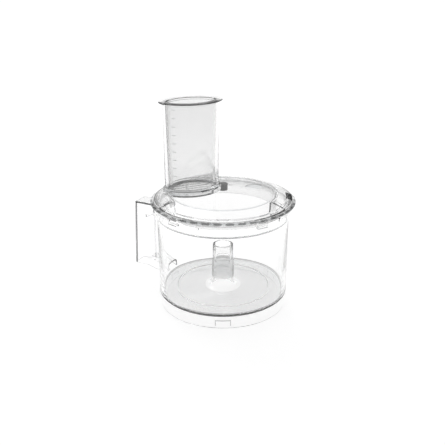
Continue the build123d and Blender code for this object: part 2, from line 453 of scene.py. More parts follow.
@dataclass(frozen=True)
class DashedPlastic(ClearPlastic):
    """Clear plastic of the rim's edge, with a ring of grey dashes."""

    dashes: float = 40.0
    first: float = -57.0
    depth: float = 0.82
    dash_range: Point = (-0.65, -0.25)

    def strength(self, paint: Paint) -> Value:
        """Share of the tint that passes, less in the dashes.

        Args:
            paint: tree of the material.

        Returns:
            A value from 0 to 1.
        """
        x, y, _ = paint.axes()
        turn = y.azimuth(x) - math.radians(self.first)
        dash = (turn * self.dashes).cosine().ramp(*self.dash_range)
        return super().strength(paint) * (1.0 - self.depth * dash)


@dataclass(frozen=True)
class RaisedMark:
    """Frosted raised mark, or a dark ribbed pad."""

    name: str
    colour: Colour = (0.55, 0.56, 0.57, 1.0)
    worn: Colour = (0.72, 0.73, 0.74, 1.0)
    gloss: float = 0.5
    roughness: float = 0.35
    roughening: float = 0.3
    relief: float = 0.1
    relief_depth: float = 0.0002

    def make(self) -> bpy.types.Material:
        """Builds the material.

        Returns:
            The finished material.
        """
        paint = Paint(bpy.data.materials.new(self.name))
        grain = paint.noise(scale=1400.0, detail=3.0)
        frost = paint.shell(
            {
                "Base Color": paint.blend(grain, self.colour, self.worn),
                "Roughness": self.roughness + self.roughening * grain,
                "Specular IOR Level": self.gloss,
                "Normal": paint.bump(grain, self.relief, self.relief_depth),
            }
        )
        return paint.output(frost)


@dataclass(frozen=True)
class LightTable:
    """White luminous table top, plain and shadowless."""

    name: str
    glow: float = 0.85
    colour: Colour = grey(0.3)
    worn: Colour = grey(0.33)
    roughness: float = 0.6
    roughening: float = 0.1

    def make(self) -> bpy.types.Material:
        """Builds the material.

        Returns:
            The finished material.
        """
        paint = Paint(bpy.data.materials.new(self.name))
        grain = paint.noise(scale=3.0, detail=3.0)
        top = paint.shell(
            {
                "Base Color": paint.blend(grain, self.colour, self.worn),
                "Roughness": self.roughness + self.roughening * grain,
                "Emission Color": WHITE,
                "Emission Strength": self.glow,
            }
        )
        return paint.output(top)


@dataclass(frozen=True)
class Corner:
    """One corner of a section, in millimetres, with the radius that rounds it."""

    x: float
    z: float
    radius: float = 0.0


@dataclass(frozen=True)
class Section:
    """Outline of a wall that is cut through."""

    corners: tuple[Corner, ...]
    closed: bool = True
    steps: int = 5
    half_side: float = 0.49
    whole_side: float = 0.98

    def outline(self) -> list[Point]:
        """Rounds the corners.

        Returns:
            The points of the outline in order, in millimetres.
        """
        count = len(self.corners)
        points: list[Point] = []
        for place, corner in enumerate(self.corners):
            at_end = not self.closed and place in (0, count - 1)
            if corner.radius <= 0.0 or at_end:
                points.append((corner.x, corner.z))
                continue
            here = Vector((corner.x, corner.z))
            before = self.corners[place - 1]
            after = self.corners[(place + 1) % count]
            back = Vector((before.x, before.z)) - here
            ahead = Vector((after.x, after.z)) - here
            room = min(back.length * self._share(before), ahead.length * self._share(after))
            points.extend(self._round(here, back, ahead, corner.radius, room))
        return points

    def _share(self, neighbour: Corner) -> float:
        """Share of a side that a rounding may use: half beside another rounded corner."""
        return self.half_side if neighbour.radius > 0.0 else self.whole_side

    def _round(
        self, here: Vector, back: Vector, ahead: Vector, radius: float, room: float
    ) -> list[Point]:
        """Points of the arc at one corner.

        Args:
            here: the sharp corner.
            back: way to the corner before.
            ahead: way to the corner after.
            radius: radius of the arc.
            room: most that the arc may use of either side.

        Returns:
            The arc's points from the way in to the way out.
        """
        back_way = back.normalized()
        ahead_way = ahead.normalized()
        half = back_way.angle(ahead_way) / 2
        reach = min(radius / math.tan(half), room)
        true_radius = reach * math.tan(half)
        centre = here + (back_way + ahead_way).normalized() * true_radius / math.sin(half)
        first = here + back_way * reach - centre
        last = here + ahead_way * reach - centre
        turn = first.angle_signed(last)
        arc: list[Point] = []
        for step in range(self.steps + 1):
            spoke = first.copy()
            spoke.rotate(Matrix.Rotation(-turn * step / self.steps, 2))
            arc.append((centre.x + spoke.x, centre.y + spoke.y))
        return arc


def corners(*places: tuple[float, ...]) -> tuple[Corner, ...]:
    """Corners from rows of place and radius."""
    return tuple(Corner(*place) for place in places)


class Former:
    """Makes closed meshes from sections."""

    # Points closer than this many metres become one
    MERGE = 1e-7

    # A radius below this many millimetres lies on the axis
    ON_AXIS = 1e-6

    @classmethod
    def mesh(
        cls, name: str, points: Sequence[Sequence[float]], faces: Sequence[Sequence[int]]
    ) -> bpy.types.Mesh:
        """Closed mesh with its faces outwards.

        Args:
            name: name of the mesh.
            points: places in millimetres.
            faces: rings of point numbers.

        Returns:
            The mesh, in metres.
        """
        made = bpy.data.meshes.new(name)
        made.from_pydata([[c * MM for c in point] for point in points], [], faces)
        shape = bmesh.new()
        shape.from_mesh(made)
        bmesh.ops.remove_doubles(shape, verts=shape.verts, dist=cls.MERGE)
        bmesh.ops.recalc_face_normals(shape, faces=shape.faces)
        shape.to_mesh(made)
        shape.free()
        return made

    @staticmethod
    def spoke(outline: Sequence[Point], turn: float) -> list[Place]:
        """Outline of radius and height at an azimuth in radians."""
        return [(r * math.cos(turn), r * math.sin(turn), z) for r, z in outline]

    @classmethod
    def lathe(cls, name: str, section: Section, segments: int = 480) -> bpy.types.Mesh:
        """Section turned once round the Z axis.

        Args:
            name: name of the mesh.
            section: closed outline of radius and height.
            segments: facets round the axis.

        Returns:
            The closed mesh.
        """
        outline = section.outline()
        points: list[Place] = []
        faces: list[list[int]] = []
        count = len(outline)
        for segment in range(segments):
            points.extend(cls.spoke(outline, math.tau * segment / segments))
            ahead = (segment + 1) % segments
            for row in range(count):
                below = (row + 1) % count
                on_axis = outline[row][0] < cls.ON_AXIS, outline[below][0] < cls.ON_AXIS
                if all(on_axis):
                    continue
                a, b = segment * count + row, segment * count + below
                c, d = ahead * count + below, ahead * count + row
                ring = [a, b, c, d]
                if on_axis[0]:
                    ring = [a, b, c]
                elif on_axis[1]:
                    ring = [a, b, d]
                faces.append(ring)
        return cls.mesh(name, points, faces)

    @classmethod
    def sector(
        cls, name: str, section: Section, start: float, span: float, step: float = 1.5
    ) -> bpy.types.Mesh:
        """Section turned part of the way round the Z axis, with flat ends.

        Args:
            name: name of the mesh.
            section: closed outline of radius and height.
            start: first azimuth, in degrees.
            span: angle turned, in degrees.
            step: angle of one facet, in degrees.

        Returns:
            The closed mesh.
        """
        outline = section.outline()
        rows = max(2, round(span / step))
        turns = [math.radians(start + span * row / rows) for row in range(rows + 1)]
        return cls.loft(name, [cls.spoke(outline, turn) for turn in turns])

    @classmethod
    def loft(
        cls, name: str, rings: Sequence[Sequence[Place]], closed: bool = False
    ) -> bpy.types.Mesh:
        """Skin over a row of rings that have the same number of points.

        Args:
            name: name of the mesh.
            rings: the rings in order.
            closed: whether the last ring joins the first, or both ends are filled flat.

        Returns:
            The closed mesh.
        """
        count = len(rings[0])
        points = [point for ring in rings for point in ring]
        faces: list[list[int]] = []
        for row in range(len(rings) if closed else len(rings) - 1):
            above = (row + 1) % len(rings)
            for place in range(count):
                ahead = (place + 1) % count
                low, high = row * count, above * count
                faces.append([low + place, low + ahead, high + ahead, high + place])
        if not closed:
            faces.append(list(range(count)))
            faces.append(list(range((len(rings) - 1) * count, len(rings) * count)))
        return cls.mesh(name, points, faces)


@dataclass(frozen=True)
class Oval:
    """Oval of two round ends and two bowed sides, set askew on the lid."""

    length: float = 72.2
    width: float = 49.0
    end_radius: float = 14.3
    place: Point = OVAL_PLACE
    turn: float = OVAL_TURN
    end_steps: int = 28
    side_steps: int = 40

    def spokes(self) -> list[tuple[Point, float, float]]:
        """Arcs of the oval.

        Returns:
            Centre, radius and angle of each point, once round.
        """
        end_place = self.length / 2 - self.end_radius
        half_width = self.width / 2
        side_radius = (end_place**2 + half_width**2 - self.end_radius**2) / (
            2 * (half_width - self.end_radius)
        )
        side_place = side_radius - half_width
        tilt = math.atan2(side_place, end_place)
        arcs = (
            ((end_place, 0.0), self.end_radius, -tilt, 2 * tilt, self.end_steps),
            ((0.0, -side_place), side_radius, tilt, math.pi - 2 * tilt, self.side_steps),
            ((-end_place, 0.0), self.end_radius, math.pi - tilt, 2 * tilt, self.end_steps),
            ((0.0, side_place), side_radius, math.pi + tilt, math.pi - 2 * tilt, self.side_steps),
        )
        made: list[tuple[Point, float, float]] = []
        for centre, radius, start, span, steps in arcs:
            made.extend((centre, radius, start + span * step / steps) for step in range(steps))
        return made

    def ring(self, grow: float) -> list[Point]:
        """Outline of the oval in the lid's frame.

        Args:
            grow: margin that it is grown by.

        Returns:
            The points once round.
        """
        turn = math.radians(self.turn)
        ring: list[Point] = []
        for centre, radius, angle in self.spokes():
            x = centre[0] + (radius + grow) * math.cos(angle)
            y = centre[1] + (radius + grow) * math.sin(angle)
            across = self.place[0] + x * math.cos(turn) - y * math.sin(turn)
            along = self.place[1] + x * math.sin(turn) + y * math.cos(turn)
            ring.append((across, along))
        return ring

    def sweep(self, name: str, section: Section) -> bpy.types.Mesh:
        """Section of margin and height carried round the oval.

        Args:
            name: name of the mesh.
            section: closed outline, or an open one whose two ends are filled flat.

        Returns:
            The closed mesh.
        """
        rings = [[(x, y, z) for x, y in self.ring(grow)] for grow, z in section.outline()]
        return Former.loft(name, rings, section.closed)

    def prism(self, name: str, grow: float, low: float, high: float) -> bpy.types.Mesh:
        """Solid prism on the grown oval between two heights."""
        return self.sweep(name, Section(corners((grow, low), (grow, high)), closed=False))


class Workshop:
    """Turns meshes into finished objects."""

    # Edges of more than this angle, in degrees, stay sharp
    SHARP = 38.0

    @staticmethod
    def thing(mesh: bpy.types.Mesh) -> bpy.types.Object:
        """Object at the origin that holds a mesh and takes its name.

        Args:
            mesh: what the object holds.

        Returns:
            The object, in the scene.
        """
        made = bpy.data.objects.new(mesh.name, mesh)
        bpy.context.scene.collection.objects.link(made)
        return made

    @staticmethod
    def settle(thing: bpy.types.Object) -> bpy.types.Object:
        """Turns what the modifiers make into the object's own mesh.

        Args:
            thing: object with modifiers.

        Returns:
            The same object without them.
        """
        bpy.context.view_layer.update()
        graph = bpy.context.evaluated_depsgraph_get()
        mesh = bpy.data.meshes.new_from_object(thing.evaluated_get(graph))
        thing.modifiers.clear()
        thing.data = mesh
        return thing

    @classmethod
    def cut(cls, thing: bpy.types.Object, tool: bpy.types.Object, way: Cut) -> bpy.types.Object:
        """Joins, takes away or keeps what is common with a tool, and removes the tool.

        Args:
            thing: object that changes.
            tool: closed object that changes it.
            way: what the tool does.

        Returns:
            The changed object.
        """
        change = thing.modifiers.new("cut", "BOOLEAN")
        change.operation = way.value
        change.object = tool
        change.solver = "EXACT"
        change.material_mode = "TRANSFER"
        cls.settle(thing)
        bpy.data.objects.remove(tool)
        return thing

    @staticmethod
    def dress(
        mesh: bpy.types.Mesh,
        finishes: Sequence[bpy.types.Material],
        choose: Callable[[bpy.types.MeshPolygon], bpy.types.Material] | None = None,
    ) -> None:
        """Gives a mesh its finishes.

        Args:
            mesh: a mesh without finishes.
            finishes: all that it gets, in the order of its list.
            choose: names the finish of a face. Without it every face gets the first.
        """
        for finish in finishes:
            mesh.materials.append(finish)
        if choose is not None:
            places = {finish.name: place for place, finish in enumerate(finishes)}
            for face in mesh.polygons:
                face.material_index = places[choose(face).name]

    @staticmethod
    def repaint(
        mesh: bpy.types.Mesh,
        finish: bpy.types.Material,
        picks: Callable[[bpy.types.MeshPolygon], bool],
    ) -> None:
        """Changes the finish of some faces.

        Args:
            mesh: a dressed mesh.
            finish: one of its finishes.
            picks: tells whether a face gets it.
        """
        place = mesh.materials.find(finish.name)
        for face in mesh.polygons:
            if picks(face):
                face.material_index = place

    @classmethod
    def deliver(cls, thing: bpy.types.Object, body: Body, slot: str, nodes: Sequence[str]) -> None:
        """Shades a finished piece, smooth but for its sharp edges, and hands it to its body.

        Args:
            thing: the piece.
            body: body that it rides on.
            slot: name of a material slot; not used.
            nodes: CAD nodes that it stands for.
        """
        thing.data.shade_smooth()
        thing.data.set_sharp_from_angle(angle=math.radians(cls.SHARP))
        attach(thing, body.value)
        if nodes:
            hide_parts(*nodes)
        LOG.info("%s: %d faces on %s", thing.name, len(thing.data.polygons), body.value)


class Repeat(Wiring):
    """Geometry Nodes tree that repeats a piece round the Z axis or along a straight line."""

    def __init__(self, name: str) -> None:
        """Builds the tree with its named inputs.

        Args:
            name: name of the tree.
        """
        super().__init__(bpy.data.node_groups.new(name, "GeometryNodeTree"))
        face = self.tree.interface
        face.new_socket("Geometry", in_out="INPUT", socket_type="NodeSocketGeometry")
        self.inputs = {
            label: face.new_socket(label, in_out="INPUT", socket_type=kind).identifier
            for label, kind in (
                ("Count", "NodeSocketInt"),
                ("First turn", "NodeSocketFloat"),
                ("Turn step", "NodeSocketFloat"),
                ("Move step", "NodeSocketVector"),
                ("Finish", "NodeSocketMaterial"),
            )
        }
        face.new_socket("Geometry", in_out="OUTPUT", socket_type="NodeSocketGeometry")
        self._wire()

    def _wire(self) -> None:
        """Links points, places, turns and copies."""
        start = self.node("NodeGroupInput").outputs
        index = self.node("GeometryNodeInputIndex").outputs[0]
        shift = self.node(
            "ShaderNodeVectorMath", {"operation": "SCALE"}, {0: start["Move step"], "Scale": index}
        )
        turned = self.node(
            "ShaderNodeMath",
            {"operation": "MULTIPLY_ADD"},
            {0: index, 1: start["Turn step"], 2: start["First turn"]},
        )
        turn = self.node("ShaderNodeCombineXYZ", None, {"Z": turned.outputs[0]})
        spots = self.node(
            "GeometryNodePoints", None, {"Count": start["Count"], "Position": shift.outputs[0]}
        )
        copies = self.node(
            "GeometryNodeInstanceOnPoints",
            None,
            {
                "Points": spots.outputs[0],
                "Instance": start["Geometry"],
                "Rotation": turn.outputs[0],
            },
        )
        real = self.node("GeometryNodeRealizeInstances", None, {"Geometry": copies.outputs[0]})
        dressed = self.node(
            "GeometryNodeSetMaterial",
            None,
            {"Geometry": real.outputs[0], "Material": start["Finish"]},
        )
        self.node("NodeGroupOutput", None, {0: dressed.outputs[0]})

    def apply(
        self,
        thing: bpy.types.Object,
        count: int,
        finish: bpy.types.Material,
        first_turn: float = 0.0,
        turn_step: float = 0.0,
        move_step: Place = (0.0, 0.0, 0.0),
    ) -> bpy.types.Object:
        """Repeats an object's mesh and makes the result its own.

        Args:
            thing: object with one copy of the piece.
            count: number of copies.
            finish: material of the copies.
            first_turn: azimuth of the first copy, in degrees.
            turn_step: angle from copy to copy, in degrees.
            move_step: way from copy to copy, in millimetres.

        Returns:
            The object with all copies in its mesh.
        """
        change = thing.modifiers.new("repeat", "NODES")
        change.node_group = self.tree
        change[self.inputs["Count"]] = count
        change[self.inputs["First turn"]] = math.radians(first_turn)
        change[self.inputs["Turn step"]] = math.radians(turn_step)
        change[self.inputs["Move step"]] = tuple(c * MM for c in move_step)
        change[self.inputs["Finish"]] = finish
        return Workshop.settle(thing)


class Finishes:
    """Materials of the whole set."""

    def __init__(self) -> None:
        """Builds every material once."""
        cup: dict[str, Any] = {"smoke": 190.0, "smoke_tint": grey(0.80)}
        # The edge settings in rim, lip and skin darken outlines as painted shade
        rim: dict[str, Any] = {"edge": 0.65, "edge_shade_from": 0.40, "edge_shade_full": 0.80}
        lip: dict[str, Any] = {"edge": 0.92, "edge_shade_from": 0.40, "edge_shade_full": 0.80}
        frost: dict[str, Any] = {"roughness": 0.12, "clearness": 0.88}
        skin: dict[str, Any] = {"edge": 0.9, "edge_shade_from": 0.35, "edge_shade_full": 0.7}
        soft: dict[str, Any] = {"roughness": 0.3, "haze": 0.2, "index": 1.41}
        bead: dict[str, Any] = {"roughness": 0.2, "clearness": 0.4}
        wavy: dict[str, Any] = {"roughness": 0.05, "ripple": 0.3}
        self.bowl = ClearPlastic("bowl_clear", ripple=0.01, index=1.40).make()
        # Dark tints for lines of painted shade along the bowl's edges
        self.bowl_edge_painted_shade = ClearPlastic("bowl_edge_painted_shade", tint=grey(0.03)).make()
        self.bowl_line_painted_shade = ClearPlastic("bowl_line_painted_shade", tint=grey(0.26)).make()
        # Grey tint of the skirt's arches: painted shade, kept on the front arches only
        self.arch_painted_shade = ClearPlastic("arch_painted_shade", tint=grey(0.50)).make()
        self.column = ClearPlastic("column_clear", index=1.40, **lip).make()
        # Frosted grey of the column's foot, used on its front side only as painted shade
        self.column_foot = ClearPlastic("column_frost_and_painted_shade", tint=grey(0.86), **frost, **rim).make()
        self.floor = ClearPlastic("bowl_floor_frosted", tint=grey(0.94), **frost).make()
        self.handle = ClearPlastic("handle_clear", edge=0.7).make()
        # Near-black tint for painted shade at the handle's root, outer corner and top edge
        self.handle_painted_shade = ClearPlastic("handle_painted_shade", tint=grey(0.05)).make()
        self.seal = SealSilicone("seal_soft", tint=grey(0.97), **soft).make()
        self.lid = ClearPlastic("lid_clear", index=1.40).make()
        self.lid_top = ClearPlastic("lid_top_clear", index=1.20).make()
        self.rim = DashedPlastic("lid_rim_dashed", index=1.40).make()
        # Frosted grey of the guard ring, also used on the boss's front as painted shade
        self.guard = ClearPlastic("guard_frost_and_painted_shade", tint=grey(0.93), roughness=0.2).make()
        # Dark tint for painted shade on the guard's lower edge and the recess's sloping edge
        self.lid_line_painted_shade = ClearPlastic("lid_line_painted_shade", tint=grey(0.3), roughness=0.2).make()
        self.dark = RaisedMark("grip_dark", colour=grey(0.004), worn=grey(0.03), gloss=0.2).make()
        self.chute = ClearPlastic("chute_clear").make()
        self.chute_foot = ClearPlastic("chute_foot_grey", tint=grey(0.95)).make()
        # Near-black tint for lines of painted shade on the chute's foot and the boss
        self.chute_line_painted_shade = ClearPlastic("chute_line_painted_shade", tint=grey(0.04)).make()
        # Grey haze for the bead, painted shade used on its front only
        self.bead = ClearPlastic("bead_front_painted_shade", tint=grey(0.95), **bead).make()
        self.pusher = CupPlastic("pusher_smoky", **skin, **cup).make()
        self.flange = ClearPlastic("pusher_flange", index=1.2, **cup).make()
        # Dark tint for painted shade on the flange's edge
        self.flange_painted_shade = ClearPlastic("pusher_flange_painted_shade", tint=grey(0.25), **cup).make()
        self.foot = ClearPlastic("pusher_foot_wavy", tint=grey(1.0), **wavy, **cup).make()
        # Dark tint for painted shade on the foot's rounded edge
        self.foot_edge = ClearPlastic("pusher_foot_painted_shade", tint=grey(0.62), **cup).make()
        self.mark = RaisedMark("scale_mark").make()


@dataclass
class SubAssembly:
    """What the sub-assemblies share: finishes, the tree for copies and the chute's oval."""

    finishes: Finishes
    repeat: Repeat
    oval: Oval


@dataclass
class Bowl(SubAssembly):
    """Clear bowl with a skirt, a hollow drive column, a collar and locking ledges."""

    wall_radius: float = 84.0
    wall: float = 2.6
    height: float = 136.2
    floor_top: float = 19.0
    skirt_radius: float = 82.5
    skirt_wall: float = 2.3
    skirt_slope: float = 1.5
    collar_base: float = 120.0
    collar_radius: float = 86.0
    collar_lag: float = 0.5
    column_top: float = 78.7
    column_radius: float = 13.3
    column_lower: float = 14.4
    column_step: float = 57.0
    column_slope: float = 1.1
    column_foot: float = 14.9
    bore_radius: float = 11.0
    foot_flare: float = 9.0
    frost_low: float = 32.5
    frost_high: float = 61.0
    edge_rise: float = 1.0
    corner_width: float = 1.4
    corner_height: float = 1.3
    rib_radius: float = 61.9
    rib_foot: float = 1.4
    rib_crown: float = 0.6
    rib_rise: float = 0.8
    ledge_base: float = 133.0
    ledge_height: float = 3.0
    ledge_width: float = 2.0
    ledge_turn: float = -51.85
    ledge_span: float = 46.4
    stop_base: float = 130.5
    stop_lead: float = 0.02
    stop_span: float = 1.6
    lug_turn: float = 41.0
    ledges: int = 5
    marks: int = 3
    mark_turn: float = 58.0
    mark_span: float = 14.0
    mark_low: float = 3.5
    mark_high: float = 11.7
    mark_line: float = 1.5
    mark_leg: float = 1.1
    mark_rise: float = 0.8
    front_side: float = 0.3
    edge_drop: float = 0.3
    collar_line_rise: float = 1.0
    collar_line_half: float = 0.8
    floor_skin: float = 1.5
    flare_share: float = 0.75
    skirt_slack: float = 0.1
    wall_slack: float = 0.5
    foot_slack: float = 0.5
    column_slack: float = 0.3

    def section(self) -> Section:
        """Cut through skirt, floor, column, wall and collar.

        Returns:
            The closed outline.
        """
        under = self.floor_top - self.wall
        skirt_inner = self.skirt_radius - self.skirt_wall
        wall_inner = self.wall_radius - self.wall
        collar_inner = self.collar_radius - self.wall
        collar_foot = self.collar_base + self.collar_radius - self.wall_radius
        rib = self.rib_radius
        rib_top = self.floor_top + self.rib_rise
        share = (self.frost_low - self.floor_top) / (self.column_step - self.floor_top)
        frost_radius = self.column_foot + (self.column_lower - self.column_foot) * share
        return Section(
            corners(
                (skirt_inner, 0.0, 0.5),
                (self.skirt_radius, 0.0, 0.5),
                (self.skirt_radius, under, 0.8),
                (self.wall_radius, under + self.skirt_slope, 0.8),
                (self.wall_radius, self.floor_top + self.edge_rise),
                (self.wall_radius, self.collar_base, 9.0),
                (self.collar_radius, collar_foot, 9.0),
                (self.collar_radius, self.height, 0.8),
                (collar_inner, self.height, 0.8),
                (collar_inner, collar_foot + self.collar_lag, 0.4),
                (wall_inner, self.collar_base + self.collar_lag, 0.4),
                (wall_inner, self.floor_top, 1.5),
                (rib + self.rib_foot, self.floor_top, 0.4),
                (rib + self.rib_crown, rib_top, 0.3),
                (rib - self.rib_crown, rib_top, 0.3),
                (rib - self.rib_foot, self.floor_top, 0.4),
                (self.column_foot, self.floor_top, self.foot_flare),
                (frost_radius, self.frost_low),
                (self.column_lower, self.column_step, 0.4),
                (self.column_radius, self.column_step + self.column_slope, 0.4),
                (self.column_radius, self.frost_high),
                (self.column_radius, self.column_top, 1.0),
                (self.bore_radius, self.column_top, 0.5),
                (self.bore_radius, self.frost_high),
                (self.bore_radius, under, self.foot_flare + self.wall),
                (skirt_inner, under, 0.8),
            )
        )

    @staticmethod
    def block(
        inner: float, outer: float, low: float, high: float, below: float = 0.0, above: float = 0.0
    ) -> Section:
        """Outline of a block on a wall.

        Args:
            inner: radius of its back.
            outer: radius of its face.
            low: height of its foot.
            high: height of its top.
            below: rounding of its face's lower corner.
            above: rounding of its face's upper corner.

        Returns:
            The closed outline.
        """
        return Section(
            corners((inner, low), (outer, low, below), (outer, high, above), (inner, high))
        )

    def ledge_tool(self) -> bpy.types.Object:
        """Five ledges, each with its upright stop.

        Returns:
            All ledges in one object.
        """
        inner = self.collar_radius - SUNK
        outer = self.collar_radius + self.ledge_width
        top = self.ledge_base + self.ledge_height
        bar = self.block(inner, outer, self.ledge_base, top, 0.4, 0.6)
        end = self.block(inner, outer, self.stop_base, top, 0.5, 0.6)
        ledge = Workshop.thing(Former.sector("ledge", bar, self.ledge_turn, self.ledge_span))
        stop = Former.sector("stop", end, self.ledge_turn - self.stop_lead, self.stop_span, step=0.5)
        Workshop.cut(ledge, Workshop.thing(stop), Cut.JOIN)
        finish = self.finishes.bowl
        return self.repeat.apply(ledge, self.ledges, finish, self.lug_turn, 360.0 / self.ledges)

    def mark_tool(self) -> bpy.types.Object:
        """Three raised arches on the skirt.

        Returns:
            All arches in one object.
        """
        inner = self.skirt_radius - SUNK
        outer = self.skirt_radius + self.mark_rise
        half = self.mark_span / 2
        leg = self.mark_leg
        full = self.block(inner, outer, self.mark_low, self.mark_high, 0.4, 0.4)
        hollow = self.block(
            inner - PAST, outer + PAST, self.mark_low - PAST, self.mark_high - self.mark_line
        )
        arch = Workshop.thing(Former.sector("arch", full, -half, self.mark_span, step=1.0))
        inside = Former.sector("inside", hollow, leg - half, self.mark_span - 2 * leg, step=1.0)
        Workshop.cut(arch, Workshop.thing(inside), Cut.TAKE_AWAY)
        finish = self.finishes.arch_painted_shade
        return self.repeat.apply(arch, self.marks, finish, self.mark_turn, 360.0 / self.marks)

    def build(self) -> None:
        """Makes the bowl in one closed mesh and hands it over."""
        bowl = Workshop.thing(Former.lathe("bowl_shell", self.section()))
        used = (
            self.finishes.bowl,
            self.finishes.floor,
            self.finishes.bowl_edge_painted_shade,
            self.finishes.bowl_line_painted_shade,
            self.finishes.column,
            self.finishes.column_foot,
        )
        Workshop.dress(bowl.data, used, self.finish)
        Workshop.cut(bowl, self.ledge_tool(), Cut.JOIN)
        Workshop.cut(bowl, self.mark_tool(), Cut.JOIN)
        # The arches' grey tint is painted shade: the arches at the back go back to clear
        arch = bowl.data.materials.find(self.finishes.arch_painted_shade.name)

        def rear_arch(face: bpy.types.MeshPolygon) -> bool:
            """Whether a face is of an arch at the back, which stays clear while the front arches
            keep their painted shade.
            """
            return face.material_index == arch and face.center.dot(FRONT) < 0.0

        Workshop.repaint(bowl.data, self.finishes.bowl, rear_arch)
        Workshop.deliver(bowl, Body.BOWL, "bowl_clear", ["bowl"])

    def finish(self, face: bpy.types.MeshPolygon) -> bpy.types.Material:
        """Finish of a face: painted shade lines along edges, frosted floor, frosted column foot
        greyed in front as painted shade, else clear.

        Args:
            face: a face of the turned shell.

        Returns:
            The face's material.
        """
        reach = math.hypot(face.center.x, face.center.y) / MM
        height = face.center.z / MM
        under = self.floor_top - self.wall
        inner = self.wall_radius - self.wall
        side = face.normal.dot(FRONT)
        in_front = side > self.front_side
        at_edge = under - self.edge_drop < height < self.floor_top + self.edge_rise
        # Painted shade: dark strip round the floor's outer edge, on the front side only
        if reach > self.skirt_radius - self.skirt_slack and at_edge:
            return self.finishes.bowl_edge_painted_shade if in_front else self.finishes.bowl
        # Painted shade: dark line at the collar's foot, on the front side only
        line = self.collar_base + self.collar_line_rise
        at_collar = abs(height - line) < self.collar_line_half
        if reach > self.wall_radius - self.wall_slack and at_collar:
            return self.finishes.bowl_line_painted_shade if in_front else self.finishes.bowl
        # Painted shade: line at the floor's inner corner, darkest at the back
        at_corner = self.floor_top < height < self.floor_top + self.corner_height
        if inner - self.corner_width < reach < inner and at_corner:
            return self.finishes.bowl_edge_painted_shade if side < -self.front_side else self.finishes.bowl_line_painted_shade
        if self.column_foot + self.foot_flare < reach < inner - self.corner_width:
            on_floor = abs(height - self.floor_top) < self.floor_skin
            return self.finishes.floor if on_floor else self.finishes.bowl
        above_flare = height > self.floor_top + self.foot_flare * self.flare_share
        if reach < self.column_foot + self.foot_slack and above_flare:
            if height > self.frost_high:
                return self.finishes.column
            # Painted shade: the column's lower outside is frosted grey on its front side only
            outside = reach > self.column_radius - self.column_slack
            if outside and side > 0.0 and height > self.frost_low:
                return self.finishes.column_foot
        return self.finishes.bowl


